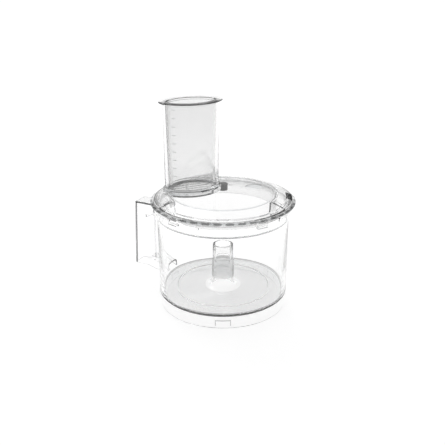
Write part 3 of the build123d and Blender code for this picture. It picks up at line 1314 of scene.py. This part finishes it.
@dataclass
class Handle(SubAssembly):
    """Hollow loop grip that flares to its foot, open below, on two arms from the wall."""

    wall_radius: float = 84.0
    grip_inner: float = 110.0
    depth: float = 20.0
    flare: float = 3.5
    width: float = 26.0
    round: float = 6.0
    least_round: float = 0.5
    foot: float = 29.0
    foot_edge: float = 0.4
    top: float = 119.8
    crown_steps: int = 6
    wall: float = 2.4
    core_edge: float = 1.2
    core_drop: float = 5.0
    arm_start: float = 81.4
    arm_reach: float = 31.5
    arm_height: float = 15.8
    strut_foot: float = 22.0
    strut_height: float = 10.5
    strut_slope: float = 0.25
    root_gap: float = 0.06
    root_depth: float = 0.4
    plug_height: float = 150.0
    corner_side: float = 0.9
    top_side: float = 0.25

    def grip_ring(self, height: float, inset: float) -> list[Place]:
        """Level outline of the grip.

        Args:
            height: height of the outline.
            inset: how far the outline stands in from the outside.

        Returns:
            The points once round.
        """
        share = (self.top - height) / (self.top - self.foot)
        deep = self.depth + self.flare * share
        half_deep = deep / 2 - inset
        half_wide = self.width / 2 - inset
        rounding = max(self.round - inset, self.least_round)
        outline = Section(
            corners(
                (-half_deep, -half_wide, rounding),
                (half_deep, -half_wide, rounding),
                (half_deep, half_wide, rounding),
                (-half_deep, half_wide, rounding),
            ),
            steps=8,
        ).outline()
        return [(x - self.grip_inner - deep / 2, y, height) for x, y in outline]

    def grip(self, name: str, inset: float) -> bpy.types.Object:
        """Upright of the loop, or the hollow in it when an inset is given.

        Args:
            name: name of the object.
            inset: how far it stands in from the outside.

        Returns:
            The closed upright.
        """
        edge = self.wall
        rings = [
            self.grip_ring(self.foot, self.foot_edge),
            self.grip_ring(self.foot + self.foot_edge, 0.0),
        ]
        if inset > 0.0:
            edge = self.core_edge
            rings = [self.grip_ring(self.foot - 2 * PAST, inset)]
        for step in range(self.crown_steps + 1):
            turn = math.pi / 2 * step / self.crown_steps
            height = self.top - inset - edge + edge * math.sin(turn)
            rings.append(self.grip_ring(height, inset + edge - edge * math.cos(turn)))
        return Workshop.thing(Former.loft(name, rings))

    def arm(self, section: Section, slope: float) -> bpy.types.Object:
        """Bar from the wall to the grip.

        Args:
            section: outline of width and height at the wall.
            slope: rise for each millimetre outward.

        Returns:
            The closed bar.
        """
        rings = [
            [(-self.arm_start - reach, y, z + slope * reach) for y, z in section.outline()]
            for reach in (0.0, self.arm_reach)
        ]
        return Workshop.thing(Former.loft("arm", rings))

    def bar(self, inset: float, low: float, high: float, rounding: float) -> Section:
        """Outline of an arm, rounded above, or of the hollow in it.

        Args:
            inset: how far it stands in from the arm's sides.
            low: height of its foot.
            high: height of its top.
            rounding: radius of its upper corners.

        Returns:
            The closed outline.
        """
        half = self.width / 2 - inset
        return Section(
            corners(
                (-half, low, 0.4), (half, low, 0.4), (half, high, rounding), (-half, high, rounding)
            ),
            steps=6,
        )

    def build(self) -> None:
        """Joins grip and arms, hollows them, trims them to the wall and hands the loop over."""
        core = self.wall
        arm_low = self.top - self.arm_height
        strut_low = self.strut_foot
        strut_top = strut_low + self.strut_height
        upper = self.bar(0.0, arm_low, self.top, self.wall)
        lower = self.bar(0.0, strut_low, strut_top, self.round)
        upper_core = self.bar(core, arm_low - self.core_drop, self.top - core, 0.8)
        lower_core = self.bar(core, strut_low - self.core_drop, strut_top - core, self.round - core)
        loop = self.grip("handle_loop", 0.0)
        Workshop.dress(loop.data, (self.finishes.handle, self.finishes.handle_painted_shade))
        Workshop.cut(loop, self.arm(upper, 0.0), Cut.JOIN)
        Workshop.cut(loop, self.arm(lower, self.strut_slope), Cut.JOIN)
        Workshop.cut(loop, self.grip("core", core), Cut.TAKE_AWAY)
        Workshop.cut(loop, self.arm(upper_core, 0.0), Cut.TAKE_AWAY)
        Workshop.cut(loop, self.arm(lower_core, self.strut_slope), Cut.TAKE_AWAY)
        bound, high = self.wall_radius + self.root_gap, self.plug_height
        plug = Section(corners((0.0, 0.0), (bound, 0.0), (bound, high), (0.0, high)))
        Workshop.cut(loop, Workshop.thing(Former.lathe("plug", plug)), Cut.TAKE_AWAY)
        # Painted shade: dark root at the wall, dark left corner and front top edge of the grip
        Workshop.repaint(loop.data, self.finishes.handle_painted_shade, self.is_painted_shade)
        Workshop.deliver(loop, Body.BOWL, "handle_clear", ["handle"])

    def is_painted_shade(self, face: bpy.types.MeshPolygon) -> bool:
        """Whether a face gets painted shade: where it meets the bowl's wall, or the grip's outer
        corner or top edge in front.

        Args:
            face: a face of the loop.

        Returns:
            True for a face with painted shade.
        """
        bound = (self.wall_radius + self.root_depth) * MM
        at_wall = math.hypot(face.center.x, face.center.y) < bound
        on_grip = face.center.x < -self.grip_inner * MM
        at_corner = on_grip and face.normal.dot(LEFT) > self.corner_side
        on_top = face.center.z > (self.top - self.wall) * MM and face.normal.z > self.top_side
        return at_wall or at_corner or (on_top and face.normal.dot(FRONT) > self.top_side)


@dataclass
class SealRing(SubAssembly):
    """Soft ring between the bowl's edge and the lid, with a lip inside the collar."""

    lip_inner: float = 82.2
    lip_outer: float = 83.1
    outer: float = 88.2
    base: float = 136.2
    top: float = 138.0
    lip_base: float = 133.0

    def build(self) -> None:
        """Turns the ring and hands it over."""
        section = Section(
            corners(
                (self.lip_inner, self.top, 0.3),
                (self.outer, self.top, 0.5),
                (self.outer, self.base, 0.5),
                (self.lip_outer, self.base, 0.2),
                (self.lip_outer, self.lip_base, 0.3),
                (self.lip_inner, self.lip_base, 0.3),
            ),
            steps=3,
        )
        ring = Workshop.thing(Former.lathe("seal_band", section))
        Workshop.dress(ring.data, (self.finishes.seal,))
        Workshop.deliver(ring, Body.SEAL, "seal_soft", ["seal_ring"])


@dataclass
class Lid(SubAssembly):
    """Clear lid with a sloping shoulder, hooked lugs and a seat for the chute."""

    rim_radius: float = 92.0
    rim_base: float = 138.0
    rim_height: float = 1.8
    rim_side: float = 0.3
    cone_outer: float = 89.5
    cone_foot: float = 141.2
    plateau_radius: float = 65.0
    plateau_round: float = 3.0
    plateau_top: float = 149.0
    wall: float = 2.4
    guard_radius: float = 68.0
    guard_wall: float = 2.0
    guard_base: float = 124.0
    guard_edge_side: float = 0.5
    guard_boss_turn: float = 118.0
    guard_boss_radius: float = 6.5
    guard_boss_height: float = 10.0
    guard_boss_grooves: int = 3
    guard_boss_groove: float = 0.9
    guard_boss_chamfer: float = 0.4
    seat_inner: float = 84.8
    seat_outer: float = 86.8
    rib_outer: float = 81.8
    rib_inner: float = 79.6
    rib_base: float = 131.0
    band_start: float = -3.0
    band_span: float = 239.4
    band_rise: float = 1.5
    band_inner: float = 67.0
    band_outer: float = 88.0
    band_slope_inner: float = 3.0
    band_slope_outer: float = 0.8
    lug_base: float = 130.5
    lug_root: float = 1.2
    lug_foot: float = 2.1
    lug_inner: float = 88.6
    lug_outer: float = 91.7
    lug_hook: float = 86.4
    lug_span: float = 8.5
    lug_turn: float = 41.0
    lugs: int = 5
    pad_inner: float = 79.8
    pad_length: float = 8.2
    pad_turn: float = 25.5
    pad_span: float = 15.0
    pad_lift: float = 0.05
    pad_rise: float = 0.9
    pad_ribs: int = 4
    pad_foot: float = 0.9
    pad_crown: Point = (0.15, 0.75)
    recess_place: Point = (25.9, 37.5)
    recess_radius: float = 12.0
    recess_slope: float = 0.6
    recess_side: float = 0.9
    recess_depth: float = 0.5
    boss_margin: float = 3.0
    seat_margin: float = 2.9
    seat_height: float = 4.0
    hole_margin: float = 0.15
    boss_base: float = 142.0
    boss_line: float = 2.2
    boss_mark: float = 13.0
    boss_mark_half: float = 1.2

    def cone_top(self, radius: float) -> float:
        """Height of the shoulder at a radius."""
        slope = (self.plateau_top - self.cone_foot) / (self.cone_outer - self.plateau_radius)
        return self.plateau_top - (radius - self.plateau_radius) * slope

    def section(self) -> Section:
        """Cut through flat top, shoulder, rim, seat on the seal and centring rib.

        Returns:
            The closed outline.
        """
        under = self.plateau_top - self.wall

        def below(radius: float) -> float:
            """Underside of the shoulder at a radius."""
            return self.cone_top(radius) - self.wall

        return Section(
            corners(
                (0.0, self.plateau_top),
                (self.plateau_radius, self.plateau_top, self.plateau_round),
                (self.cone_outer, self.cone_foot, 0.8),
                (self.rim_radius, self.rim_base + self.rim_height, 0.8),
                (self.rim_radius, self.rim_base, 0.6),
                (self.cone_outer, below(self.cone_outer), 0.4),
                (self.seat_outer, below(self.seat_outer), 0.3),
                (self.seat_outer, self.rim_base, 0.4),
                (self.seat_inner, self.rim_base, 0.4),
                (self.seat_inner, below(self.seat_inner), 0.4),
                (self.rib_outer, below(self.rib_outer), 0.4),
                (self.rib_outer, self.rib_base, 0.7),
                (self.rib_inner, self.rib_base, 0.7),
                (self.rib_inner, below(self.rib_inner), 0.8),
                (self.plateau_radius, under, self.plateau_round),
                (0.0, under),
            )
        )

    def guard_tool(self) -> bpy.types.Object:
        """Guard ring that hangs below the raised part, with painted shade on its lower edge at the
        back.

        Returns:
            The dressed ring.
        """
        inner = self.guard_radius - self.guard_wall
        high = self.cone_top(self.guard_radius) - self.wall + SUNK
        section = Section(
            corners(
                (inner, self.guard_base, 0.7),
                (self.guard_radius, self.guard_base, 0.7),
                (self.guard_radius, high),
                (inner, high),
            )
        )

        def finish(face: bpy.types.MeshPolygon) -> bpy.types.Material:
            """Clear for the two flat ends, painted shade on the lower edge at the back, else
            frosted.

            Args:
                face: a face of the ring.

            Returns:
                The face's material.
            """
            if len(face.vertices) > 4:
                return self.finishes.lid_top
            below = face.normal.z < -self.guard_edge_side
            dark = below and face.center.dot(FRONT) < 0.0
            return self.finishes.lid_line_painted_shade if dark else self.finishes.guard

        mesh = Former.sector("guard", section, self.band_start, self.band_span)
        used = (self.finishes.guard, self.finishes.lid_top, self.finishes.lid_line_painted_shade)
        Workshop.dress(mesh, used, finish)
        return Workshop.thing(mesh)

    def guard_boss_tool(self) -> bpy.types.Object:
        """Small grooved boss on the guard ring.

        Returns:
            The dressed boss.
        """
        radius = self.guard_boss_radius
        low = self.rim_base - self.guard_boss_height
        pitch = self.guard_boss_height / self.guard_boss_grooves
        profile: list[tuple[float, ...]] = [(0.0, low)]
        for row in range(self.guard_boss_grooves):
            foot, top = low + pitch * row, low + pitch * (row + 1)
            profile.append((radius, foot + self.guard_boss_chamfer, 0.7))
            profile.append((radius, top - self.guard_boss_chamfer, 0.7))
            profile.append((radius - self.guard_boss_groove, top, 0.2))
        profile.append((0.0, self.rim_base))
        mesh = Former.lathe("guard_boss", Section(corners(*profile), steps=3), segments=48)
        turn = math.radians(self.guard_boss_turn)
        reach = self.guard_radius * MM
        mesh.transform(Matrix.Translation((reach * math.cos(turn), reach * math.sin(turn), 0.0)))
        Workshop.dress(mesh, (self.finishes.dark,))
        return Workshop.thing(mesh)

    def band_tool(self) -> bpy.types.Object:
        """Raised part of the shoulder round the back.

        Returns:
            The closed band.
        """
        foot_inner, foot_outer = self.band_inner, self.band_outer
        top_inner = foot_inner + self.band_slope_inner
        top_outer = foot_outer - self.band_slope_outer
        section = Section(
            corners(
                (foot_inner, self.cone_top(foot_inner) - SUNK),
                (foot_outer, self.cone_top(foot_outer) - SUNK),
                (top_outer, self.cone_top(top_outer) + self.band_rise, 0.8),
                (top_inner, self.cone_top(top_inner) + self.band_rise, 1.5),
            )
        )
        return Workshop.thing(Former.sector("band", section, self.band_start, self.band_span))

    def lug_tool(self) -> bpy.types.Object:
        """Five hooked lugs.

        Returns:
            All lugs in one object.
        """
        section = Section(
            corners(
                (self.lug_outer, self.rim_base + self.lug_root),
                (self.lug_inner, self.rim_base + self.lug_root),
                (self.lug_inner, self.lug_base + self.lug_foot, 0.4),
                (self.lug_hook, self.lug_base + self.lug_foot, 0.4),
                (self.lug_hook, self.lug_base, 0.6),
                (self.lug_outer, self.lug_base, 0.8),
            )
        )
        mesh = Former.sector("lug", section, -self.lug_span / 2, self.lug_span, step=0.5)
        lug = Workshop.thing(mesh)
        finish = self.finishes.lid
        return self.repeat.apply(lug, self.lugs, finish, self.lug_turn, 360.0 / self.lugs)

    def pad(self) -> None:
        """Makes the dark ribbed pad on the raised part of the shoulder and hands it over."""
        crown_from, crown_to = self.pad_crown
        rib = self.pad_length / self.pad_ribs
        level = self.cone_top(self.pad_inner) + self.band_rise + self.pad_lift
        fall = (self.cone_top(self.pad_inner) - self.cone_top(self.pad_inner + 1.0)) * rib

        def spot(share: float, rise: float) -> Point:
            """Place at a share of a rib's width, raised above the shoulder."""
            return self.pad_inner + rib * share, level - fall * share + rise

        section = Section(
            corners(
                spot(0.0, 0.0),
                spot(self.pad_foot, 0.0),
                (*spot(crown_to, self.pad_rise), 0.2),
                (*spot(crown_from, self.pad_rise), 0.2),
            ),
            steps=3,
        )
        mesh = Former.sector("rim_pad", section, -self.pad_span / 2, self.pad_span, step=0.5)
        pad = Workshop.thing(mesh)
        self.repeat.apply(pad, self.pad_ribs, self.finishes.dark, move_step=(rib, 0.0, -fall))
        pad.data.transform(Matrix.Rotation(math.radians(self.pad_turn), 4, "Z"))
        Workshop.deliver(pad, Body.LID, "lid_clear", [])

    def boss_tool(self) -> bpy.types.Object:
        """Thick ring under the flat top that holds the chute, with lines of painted shade in front
        up to a mark.

        Returns:
            The dressed ring.
        """
        line_top = self.boss_base + self.boss_line
        heights = (self.boss_base, line_top, self.plateau_top)
        side = corners(*((self.boss_margin, height) for height in heights))

        def finish(face: bpy.types.MeshPolygon) -> bpy.types.Material:
            """Painted shade in front: dark along the foot and at the mark, grey above; clear past
            the mark and behind.

            Args:
                face: a face of the ring.

            Returns:
                The face's material.
            """
            past_mark = self.boss_mark - face.center.dot(LEFT) / MM
            if face.normal.dot(FRONT) <= 0.0 or past_mark >= self.boss_mark_half:
                return self.finishes.lid
            lined = face.center.z < line_top * MM or past_mark > -self.boss_mark_half
            # Painted shade: the dark line tint, with the guard's grey above it
            return self.finishes.chute_line_painted_shade if lined else self.finishes.guard

        mesh = self.oval.sweep("boss", Section(side, closed=False))
        used = (self.finishes.lid, self.finishes.guard, self.finishes.chute_line_painted_shade)
        Workshop.dress(mesh, used, finish)
        return Workshop.thing(mesh)

    def finish(self, face: bpy.types.MeshPolygon) -> bpy.types.Material:
        """Finish of a face: flat top, dashed edge of the rim, else clear.

        Args:
            face: a face of the turned shell.

        Returns:
            The face's material.
        """
        reach = math.hypot(face.center.x, face.center.y) / MM
        if reach < self.plateau_radius - self.plateau_round and abs(face.normal.z) > LEVEL:
            return self.finishes.lid_top
        on_rim = reach > self.cone_outer and face.normal.z > self.rim_side
        return self.finishes.rim if on_rim else self.finishes.lid

    def recess_tool(self) -> bpy.types.Object:
        """Disc that sinks the plain round recess, with painted shade on its sloping edge.

        Returns:
            The dressed disc.
        """
        high, low = self.plateau_top + PAST, self.plateau_top - self.recess_depth
        section = Section(
            corners(
                (0.0, high),
                (self.recess_radius, high),
                (self.recess_radius - self.recess_slope, low, 0.3),
                (0.0, low),
            )
        )

        def finish(face: bpy.types.MeshPolygon) -> bpy.types.Material:
            """Painted shade, a little rough, on the sloping edge, else clear."""
            sloping = abs(face.normal.z) < self.recess_side
            return self.finishes.lid_line_painted_shade if sloping else self.finishes.lid

        mesh = Former.lathe("recess", section, segments=96)
        Workshop.dress(mesh, (self.finishes.lid, self.finishes.lid_line_painted_shade), finish)
        x, y = self.recess_place
        mesh.transform(Matrix.Translation((x * MM, y * MM, 0.0)))
        return Workshop.thing(mesh)

    def build(self) -> None:
        """Makes the lid in one closed mesh and hands it over."""
        top = self.plateau_top
        lid = Workshop.thing(Former.lathe("lid_shell", self.section()))
        used = (self.finishes.lid, self.finishes.lid_top, self.finishes.rim)
        Workshop.dress(lid.data, used, self.finish)
        Workshop.cut(lid, self.band_tool(), Cut.JOIN)
        Workshop.cut(lid, self.guard_tool(), Cut.JOIN)
        Workshop.cut(lid, self.guard_boss_tool(), Cut.JOIN)
        Workshop.cut(lid, self.lug_tool(), Cut.JOIN)
        Workshop.cut(lid, self.boss_tool(), Cut.JOIN)
        seat = self.oval.prism("seat", self.seat_margin, top, top + self.seat_height)
        Workshop.cut(lid, Workshop.thing(seat), Cut.TAKE_AWAY)
        hole = self.oval.prism("hole", self.hole_margin, self.guard_base - PAST, top + PAST)
        Workshop.cut(lid, Workshop.thing(hole), Cut.TAKE_AWAY)
        Workshop.cut(lid, self.recess_tool(), Cut.TAKE_AWAY)
        Workshop.deliver(lid, Body.LID, "lid_clear", ["lid"])


@dataclass
class FeedChute(SubAssembly):
    """Clear oval tube with a bead on the lid and a rim on top."""

    foot: float = 142.0
    seat: float = 149.0
    top: float = 260.1
    wall: float = 2.4
    bead_width: float = 2.5
    bead_height: float = 2.5
    bead_slack: float = 0.1
    rim_width: float = 1.2
    rim_height: float = 2.4
    line: float = 2.8
    line_past: float = 0.4
    # How far to the right the bead's painted shade reaches
    bead_shade_from: float = -12.0

    def build(self) -> None:
        """Carries the wall's section round the oval and hands the tube over."""
        section = Section(
            corners(
                (0.0, self.foot, 0.6),
                (0.0, self.seat, 0.3),
                (self.bead_width, self.seat, 0.4),
                (self.bead_width, self.seat + self.bead_height, 0.9),
                (0.0, self.seat + self.bead_height, 0.9),
                (0.0, self.top - self.rim_height, 0.9),
                (self.rim_width, self.top - self.rim_height, 0.9),
                (self.rim_width, self.top, 0.6),
                (-self.wall, self.top, 0.6),
                (-self.wall, self.seat + self.line_past),
                (-self.wall, self.seat - self.line),
                (-self.wall, self.foot, 0.6),
            )
        )
        chute = Workshop.thing(self.oval.sweep("chute_tube", section))
        used = (
            self.finishes.chute,
            self.finishes.chute_foot,
            self.finishes.chute_line_painted_shade,
            self.finishes.bead,
        )
        Workshop.dress(chute.data, used, self.finish)
        Workshop.deliver(chute, Body.LID, "chute_clear", ["feed_chute"])

    def finish(self, face: bpy.types.MeshPolygon) -> bpy.types.Material:
        """Finish of a face: bead greyed in front and a dark line inside the foot, both painted
        shade; grey foot, else clear.

        Args:
            face: a face of the tube.

        Returns:
            The face's material.
        """
        height = face.center.z / MM
        outward = face.center / MM - Vector((*self.oval.place, height))
        in_front = outward.dot(FRONT) > 0.0 and outward.dot(LEFT) > self.bead_shade_from
        half_bead = self.bead_height / 2
        # Painted shade: only the front part of the bead is greyed
        if in_front and abs(height - self.seat - half_bead) < half_bead + self.bead_slack:
            return self.finishes.bead
        if height > self.seat:
            return self.finishes.chute
        # Painted shade: dark line inside the foot, on faces turned to the front
        inside = face.normal.dot(outward) < 0.0
        lined = height > self.seat - self.line and inside
        dark = lined and face.normal.dot(FRONT) > 0.0
        return self.finishes.chute_line_painted_shade if dark else self.finishes.chute_foot


@dataclass
class Pusher(SubAssembly):
    """Tapered measuring cup that hangs in the chute by its flange."""

    base: float = 145.0
    seat: float = 260.2
    top: float = 261.4
    head_margin: float = -2.8
    foot_margin: float = -5.0
    wall: float = 2.2
    floor: float = 2.5
    floor_outside: float = 6.0
    floor_inside: float = 5.0
    foot_height: float = 4.0
    foot_side: float = 0.40
    flange: float = 5.5
    flange_side: float = 0.5
    flange_slack: float = 0.2
    rib_pitch: float = 6.5
    rib_share: float = 0.22
    rib_spread: float = 1.6
    rib_inset: float = 3.2
    ribs: int = 5
    rib_height: float = 0.9
    ticks: int = 9
    tick_first: float = 168.5
    tick_pitch: float = 10.6
    tick_length: float = 5.0
    tick_height: float = 0.5
    tick_rise: float = 0.16
    tick_sunk: float = 0.06
    tick_azimuth: float = 253.0

    def section(self) -> Section:
        """Cut through foot, wall and flange, open at the two sides of the floor.

        Returns:
            The open outline.
        """
        inner_foot = self.foot_margin - self.wall
        return Section(
            corners(
                (self.foot_margin - self.floor_outside, self.base),
                (self.foot_margin, self.base, 2.4),
                (self.head_margin, self.seat, 0.4),
                (self.flange, self.seat, 0.5),
                (self.flange, self.top, 0.5),
                (self.head_margin - self.wall, self.top, 0.9),
                (inner_foot, self.base + self.floor, 2.4),
                (inner_foot - self.floor_inside, self.base + self.floor),
            ),
            closed=False,
        )

    def rib_tool(self) -> bpy.types.Object:
        """Long low ribs under the foot, trimmed to its outline.

        Returns:
            All ribs in one object.
        """
        half = self.rib_pitch * self.rib_share
        wide = half * self.rib_spread
        outline = Section(
            corners(
                (-wide, SUNK),
                (-half, -self.rib_height, 0.6),
                (half, -self.rib_height, 0.6),
                (wide, SUNK),
            )
        ).outline()
        reach = self.oval.length / 2
        rings = [[(x, y, z) for y, z in outline] for x in (-reach, reach)]
        mesh = Former.loft("foot_rib", rings)
        mesh.transform(Matrix.Translation((0.0, -self.rib_pitch * (self.ribs - 1) / 2 * MM, 0.0)))
        ribs = Workshop.thing(mesh)
        self.repeat.apply(ribs, self.ribs, self.finishes.foot, move_step=(0.0, self.rib_pitch, 0.0))
        x, y = self.oval.place
        spot = Matrix.Translation((x * MM, y * MM, self.base * MM))
        ribs.data.transform(spot @ Matrix.Rotation(math.radians(self.oval.turn), 4, "Z"))
        margin = self.foot_margin - self.rib_inset
        field = self.oval.prism("rib_field", margin, self.base - 2 * PAST, self.base + PAST)
        return Workshop.cut(ribs, Workshop.thing(field), Cut.KEEP_COMMON)

    def build(self) -> None:
        """Makes the cup with its ribs and hands it over."""
        cup = Workshop.thing(self.oval.sweep("pusher_cup", self.section()))
        used = (
            self.finishes.pusher,
            self.finishes.foot,
            self.finishes.flange,
            self.finishes.foot_edge,
            self.finishes.flange_painted_shade,
        )
        Workshop.dress(cup.data, used, self.finish)
        Workshop.cut(cup, self.rib_tool(), Cut.JOIN)
        Workshop.deliver(cup, Body.PUSHER, "pusher_clear", ["pusher"])

    def finish(self, face: bpy.types.MeshPolygon) -> bpy.types.Material:
        """Finish of a face: wavy foot and clear flange, each with painted shade along its edge, else
        smoky.

        Args:
            face: a face of the cup.

        Returns:
            The face's material.
        """
        level = abs(face.normal.z)
        low = face.center.z < (self.base + self.floor + self.foot_height) * MM
        if low and level > LEVEL:
            return self.finishes.foot
        # Painted shade: dark line on the foot's rounded edge
        if low and level > self.foot_side:
            return self.finishes.foot_edge
        # Painted shade: dark line on the flange's edge
        if face.center.z > (self.seat - self.flange_slack) * MM:
            flat = level > self.flange_side
            return self.finishes.flange if flat else self.finishes.flange_painted_shade
        return self.finishes.pusher

    def spot(self, azimuth: float, height: float) -> tuple[Vector, Vector]:
        """Place on the cup's outside and the way out of it.

        Args:
            azimuth: direction from the oval's centre, in degrees.
            height: height in millimetres.

        Returns:
            The place in metres and the outward way.
        """
        share = (height - self.base) / (self.seat - self.base)
        margin = self.foot_margin + (self.head_margin - self.foot_margin) * share
        ring = self.oval.ring(margin)
        cx, cy = self.oval.place
        way = Vector((math.cos(math.radians(azimuth)), math.sin(math.radians(azimuth))))

        def closeness(point: Point) -> float:
            """How well a point of the ring lies in the wanted direction."""
            return Vector((point[0] - cx, point[1] - cy)).normalized().dot(way)

        best = max(range(len(ring)), key=lambda place: closeness(ring[place]))
        along = Vector(ring[(best + 1) % len(ring)]) - Vector(ring[best - 1])
        out = Vector((along.y, -along.x)).normalized()
        return Vector((ring[best][0] * MM, ring[best][1] * MM, height * MM)), out.to_3d()

    def scale(self) -> None:
        """Makes the row of raised measuring marks on the cup's outside and hands it over."""
        low, out = self.spot(self.tick_azimuth, self.tick_first)
        high, _ = self.spot(self.tick_azimuth, self.tick_first + self.tick_pitch * (self.ticks - 1))
        half, tall = self.tick_length / 2, self.tick_height / 2
        outline = Section(
            corners((-half, -tall, 0.2), (half, -tall, 0.2), (half, tall, 0.2), (-half, tall, 0.2)),
            steps=2,
        ).outline()
        rings = [[(x, y, z) for x, z in outline] for y in (-self.tick_rise, self.tick_sunk)]
        ticks = Workshop.thing(Former.loft("scale_ticks", rings))
        step = (high - low) / (self.ticks - 1) / MM
        self.repeat.apply(ticks, self.ticks, self.finishes.mark, move_step=tuple(step))
        turn = math.atan2(out.y, out.x) + math.pi / 2
        ticks.data.transform(Matrix.Translation(low) @ Matrix.Rotation(turn, 4, "Z"))
        Workshop.deliver(ticks, Body.PUSHER, "pusher_clear", [])


@dataclass
class Studio:
    """Light table, pale surroundings and the camera of the picture."""

    table_size: float = 14.0
    table_level: float = -0.0006
    camera_place: Place = (0.3786, -0.7133, 0.424)
    camera_tilt: float = 68.62
    camera_turn: float = 28.0
    camera_far: float = 50.0
    lens: float = 54.5
    sensor: float = 36.0
    back_azimuth: float = 118.0
    sky: float = 0.40
    sky_range: Point = (0.12, 0.55)
    side: float = 0.93
    side_range: Point = (0.25, 0.95)
    lamp_size: Point = (1.2, 0.6)
    lamp_power: float = 6.0
    lamp_place: Place = (-0.9, 0.7, 1.3)
    lamp_aim: Place = (0.0, 0.0, 0.12)
    bounces: int = 32

    def table(self) -> None:
        """Luminous table top under the object."""
        half = self.table_size / 2 / MM
        level = self.table_level / MM
        mesh = Former.mesh(
            "table",
            [(-half, -half, level), (half, -half, level), (half, half, level), (-half, half, level)],
            [[0, 1, 2, 3]],
        )
        Workshop.dress(mesh, (LightTable("table_white").make(),))
        Workshop.thing(mesh)

    def surroundings(self) -> None:
        """Pale world: white near the level behind the object, greyer above and at the sides."""
        world = bpy.data.worlds.new("surroundings")
        bpy.context.scene.world = world
        paint = Paint(world)
        x, y, z = paint.axes(paint.node("ShaderNodeTexCoord").outputs["Generated"])
        back = math.radians(self.back_azimuth)
        along = x * math.cos(back) + y * math.sin(back)
        high = z.ramp(*self.sky_range)
        beside = (1.0 - along * along).ramp(*self.side_range)
        level = (1.0 - (1.0 - self.sky) * high) * (1.0 - (1.0 - self.side) * beside)
        glow = paint.node("ShaderNodeBackground", None, {"Color": WHITE, "Strength": level})
        paint.node("ShaderNodeOutputWorld", None, {"Surface": glow.outputs[0]})

    def lamp(self) -> None:
        """Broad soft lamp above and behind the object."""
        data = bpy.data.lights.new("softbox", "AREA")
        data.shape = "RECTANGLE"
        data.size, data.size_y = self.lamp_size
        data.energy = self.lamp_power
        lamp = bpy.data.objects.new("softbox", data)
        lamp.location = self.lamp_place
        way = Vector(self.lamp_aim) - lamp.location
        lamp.rotation_euler = way.to_track_quat("-Z", "Y").to_euler()
        bpy.context.scene.collection.objects.link(lamp)

    def camera(self) -> None:
        """Camera at the picture's viewing angle."""
        data = bpy.data.cameras.new("camera")
        data.lens = self.lens
        data.sensor_width = self.sensor
        data.clip_end = self.camera_far
        camera = bpy.data.objects.new("camera", data)
        camera.location = self.camera_place
        camera.rotation_euler = (math.radians(self.camera_tilt), 0.0, math.radians(self.camera_turn))
        bpy.context.scene.collection.objects.link(camera)
        bpy.context.scene.camera = camera

    def build(self) -> None:
        """Sets the whole studio up."""
        self.table()
        self.surroundings()
        self.lamp()
        self.camera()
        scene = bpy.context.scene
        scene.view_settings.view_transform = "Standard"
        scene.cycles.max_bounces = self.bounces
        scene.cycles.glossy_bounces = self.bounces
        scene.cycles.transmission_bounces = self.bounces
        scene.cycles.transparent_max_bounces = self.bounces


def main() -> None:
    """Builds the set in order."""
    logging.basicConfig(level=logging.INFO, format="%(name)s %(message)s")
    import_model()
    shared = Finishes(), Repeat("repeat_piece"), Oval()
    Bowl(*shared).build()
    Handle(*shared).build()
    SealRing(*shared).build()
    lid = Lid(*shared)
    lid.build()
    lid.pad()
    FeedChute(*shared).build()
    pusher = Pusher(*shared)
    pusher.build()
    pusher.scale()
    Studio().build()


if __name__ == "__main__":
    main()
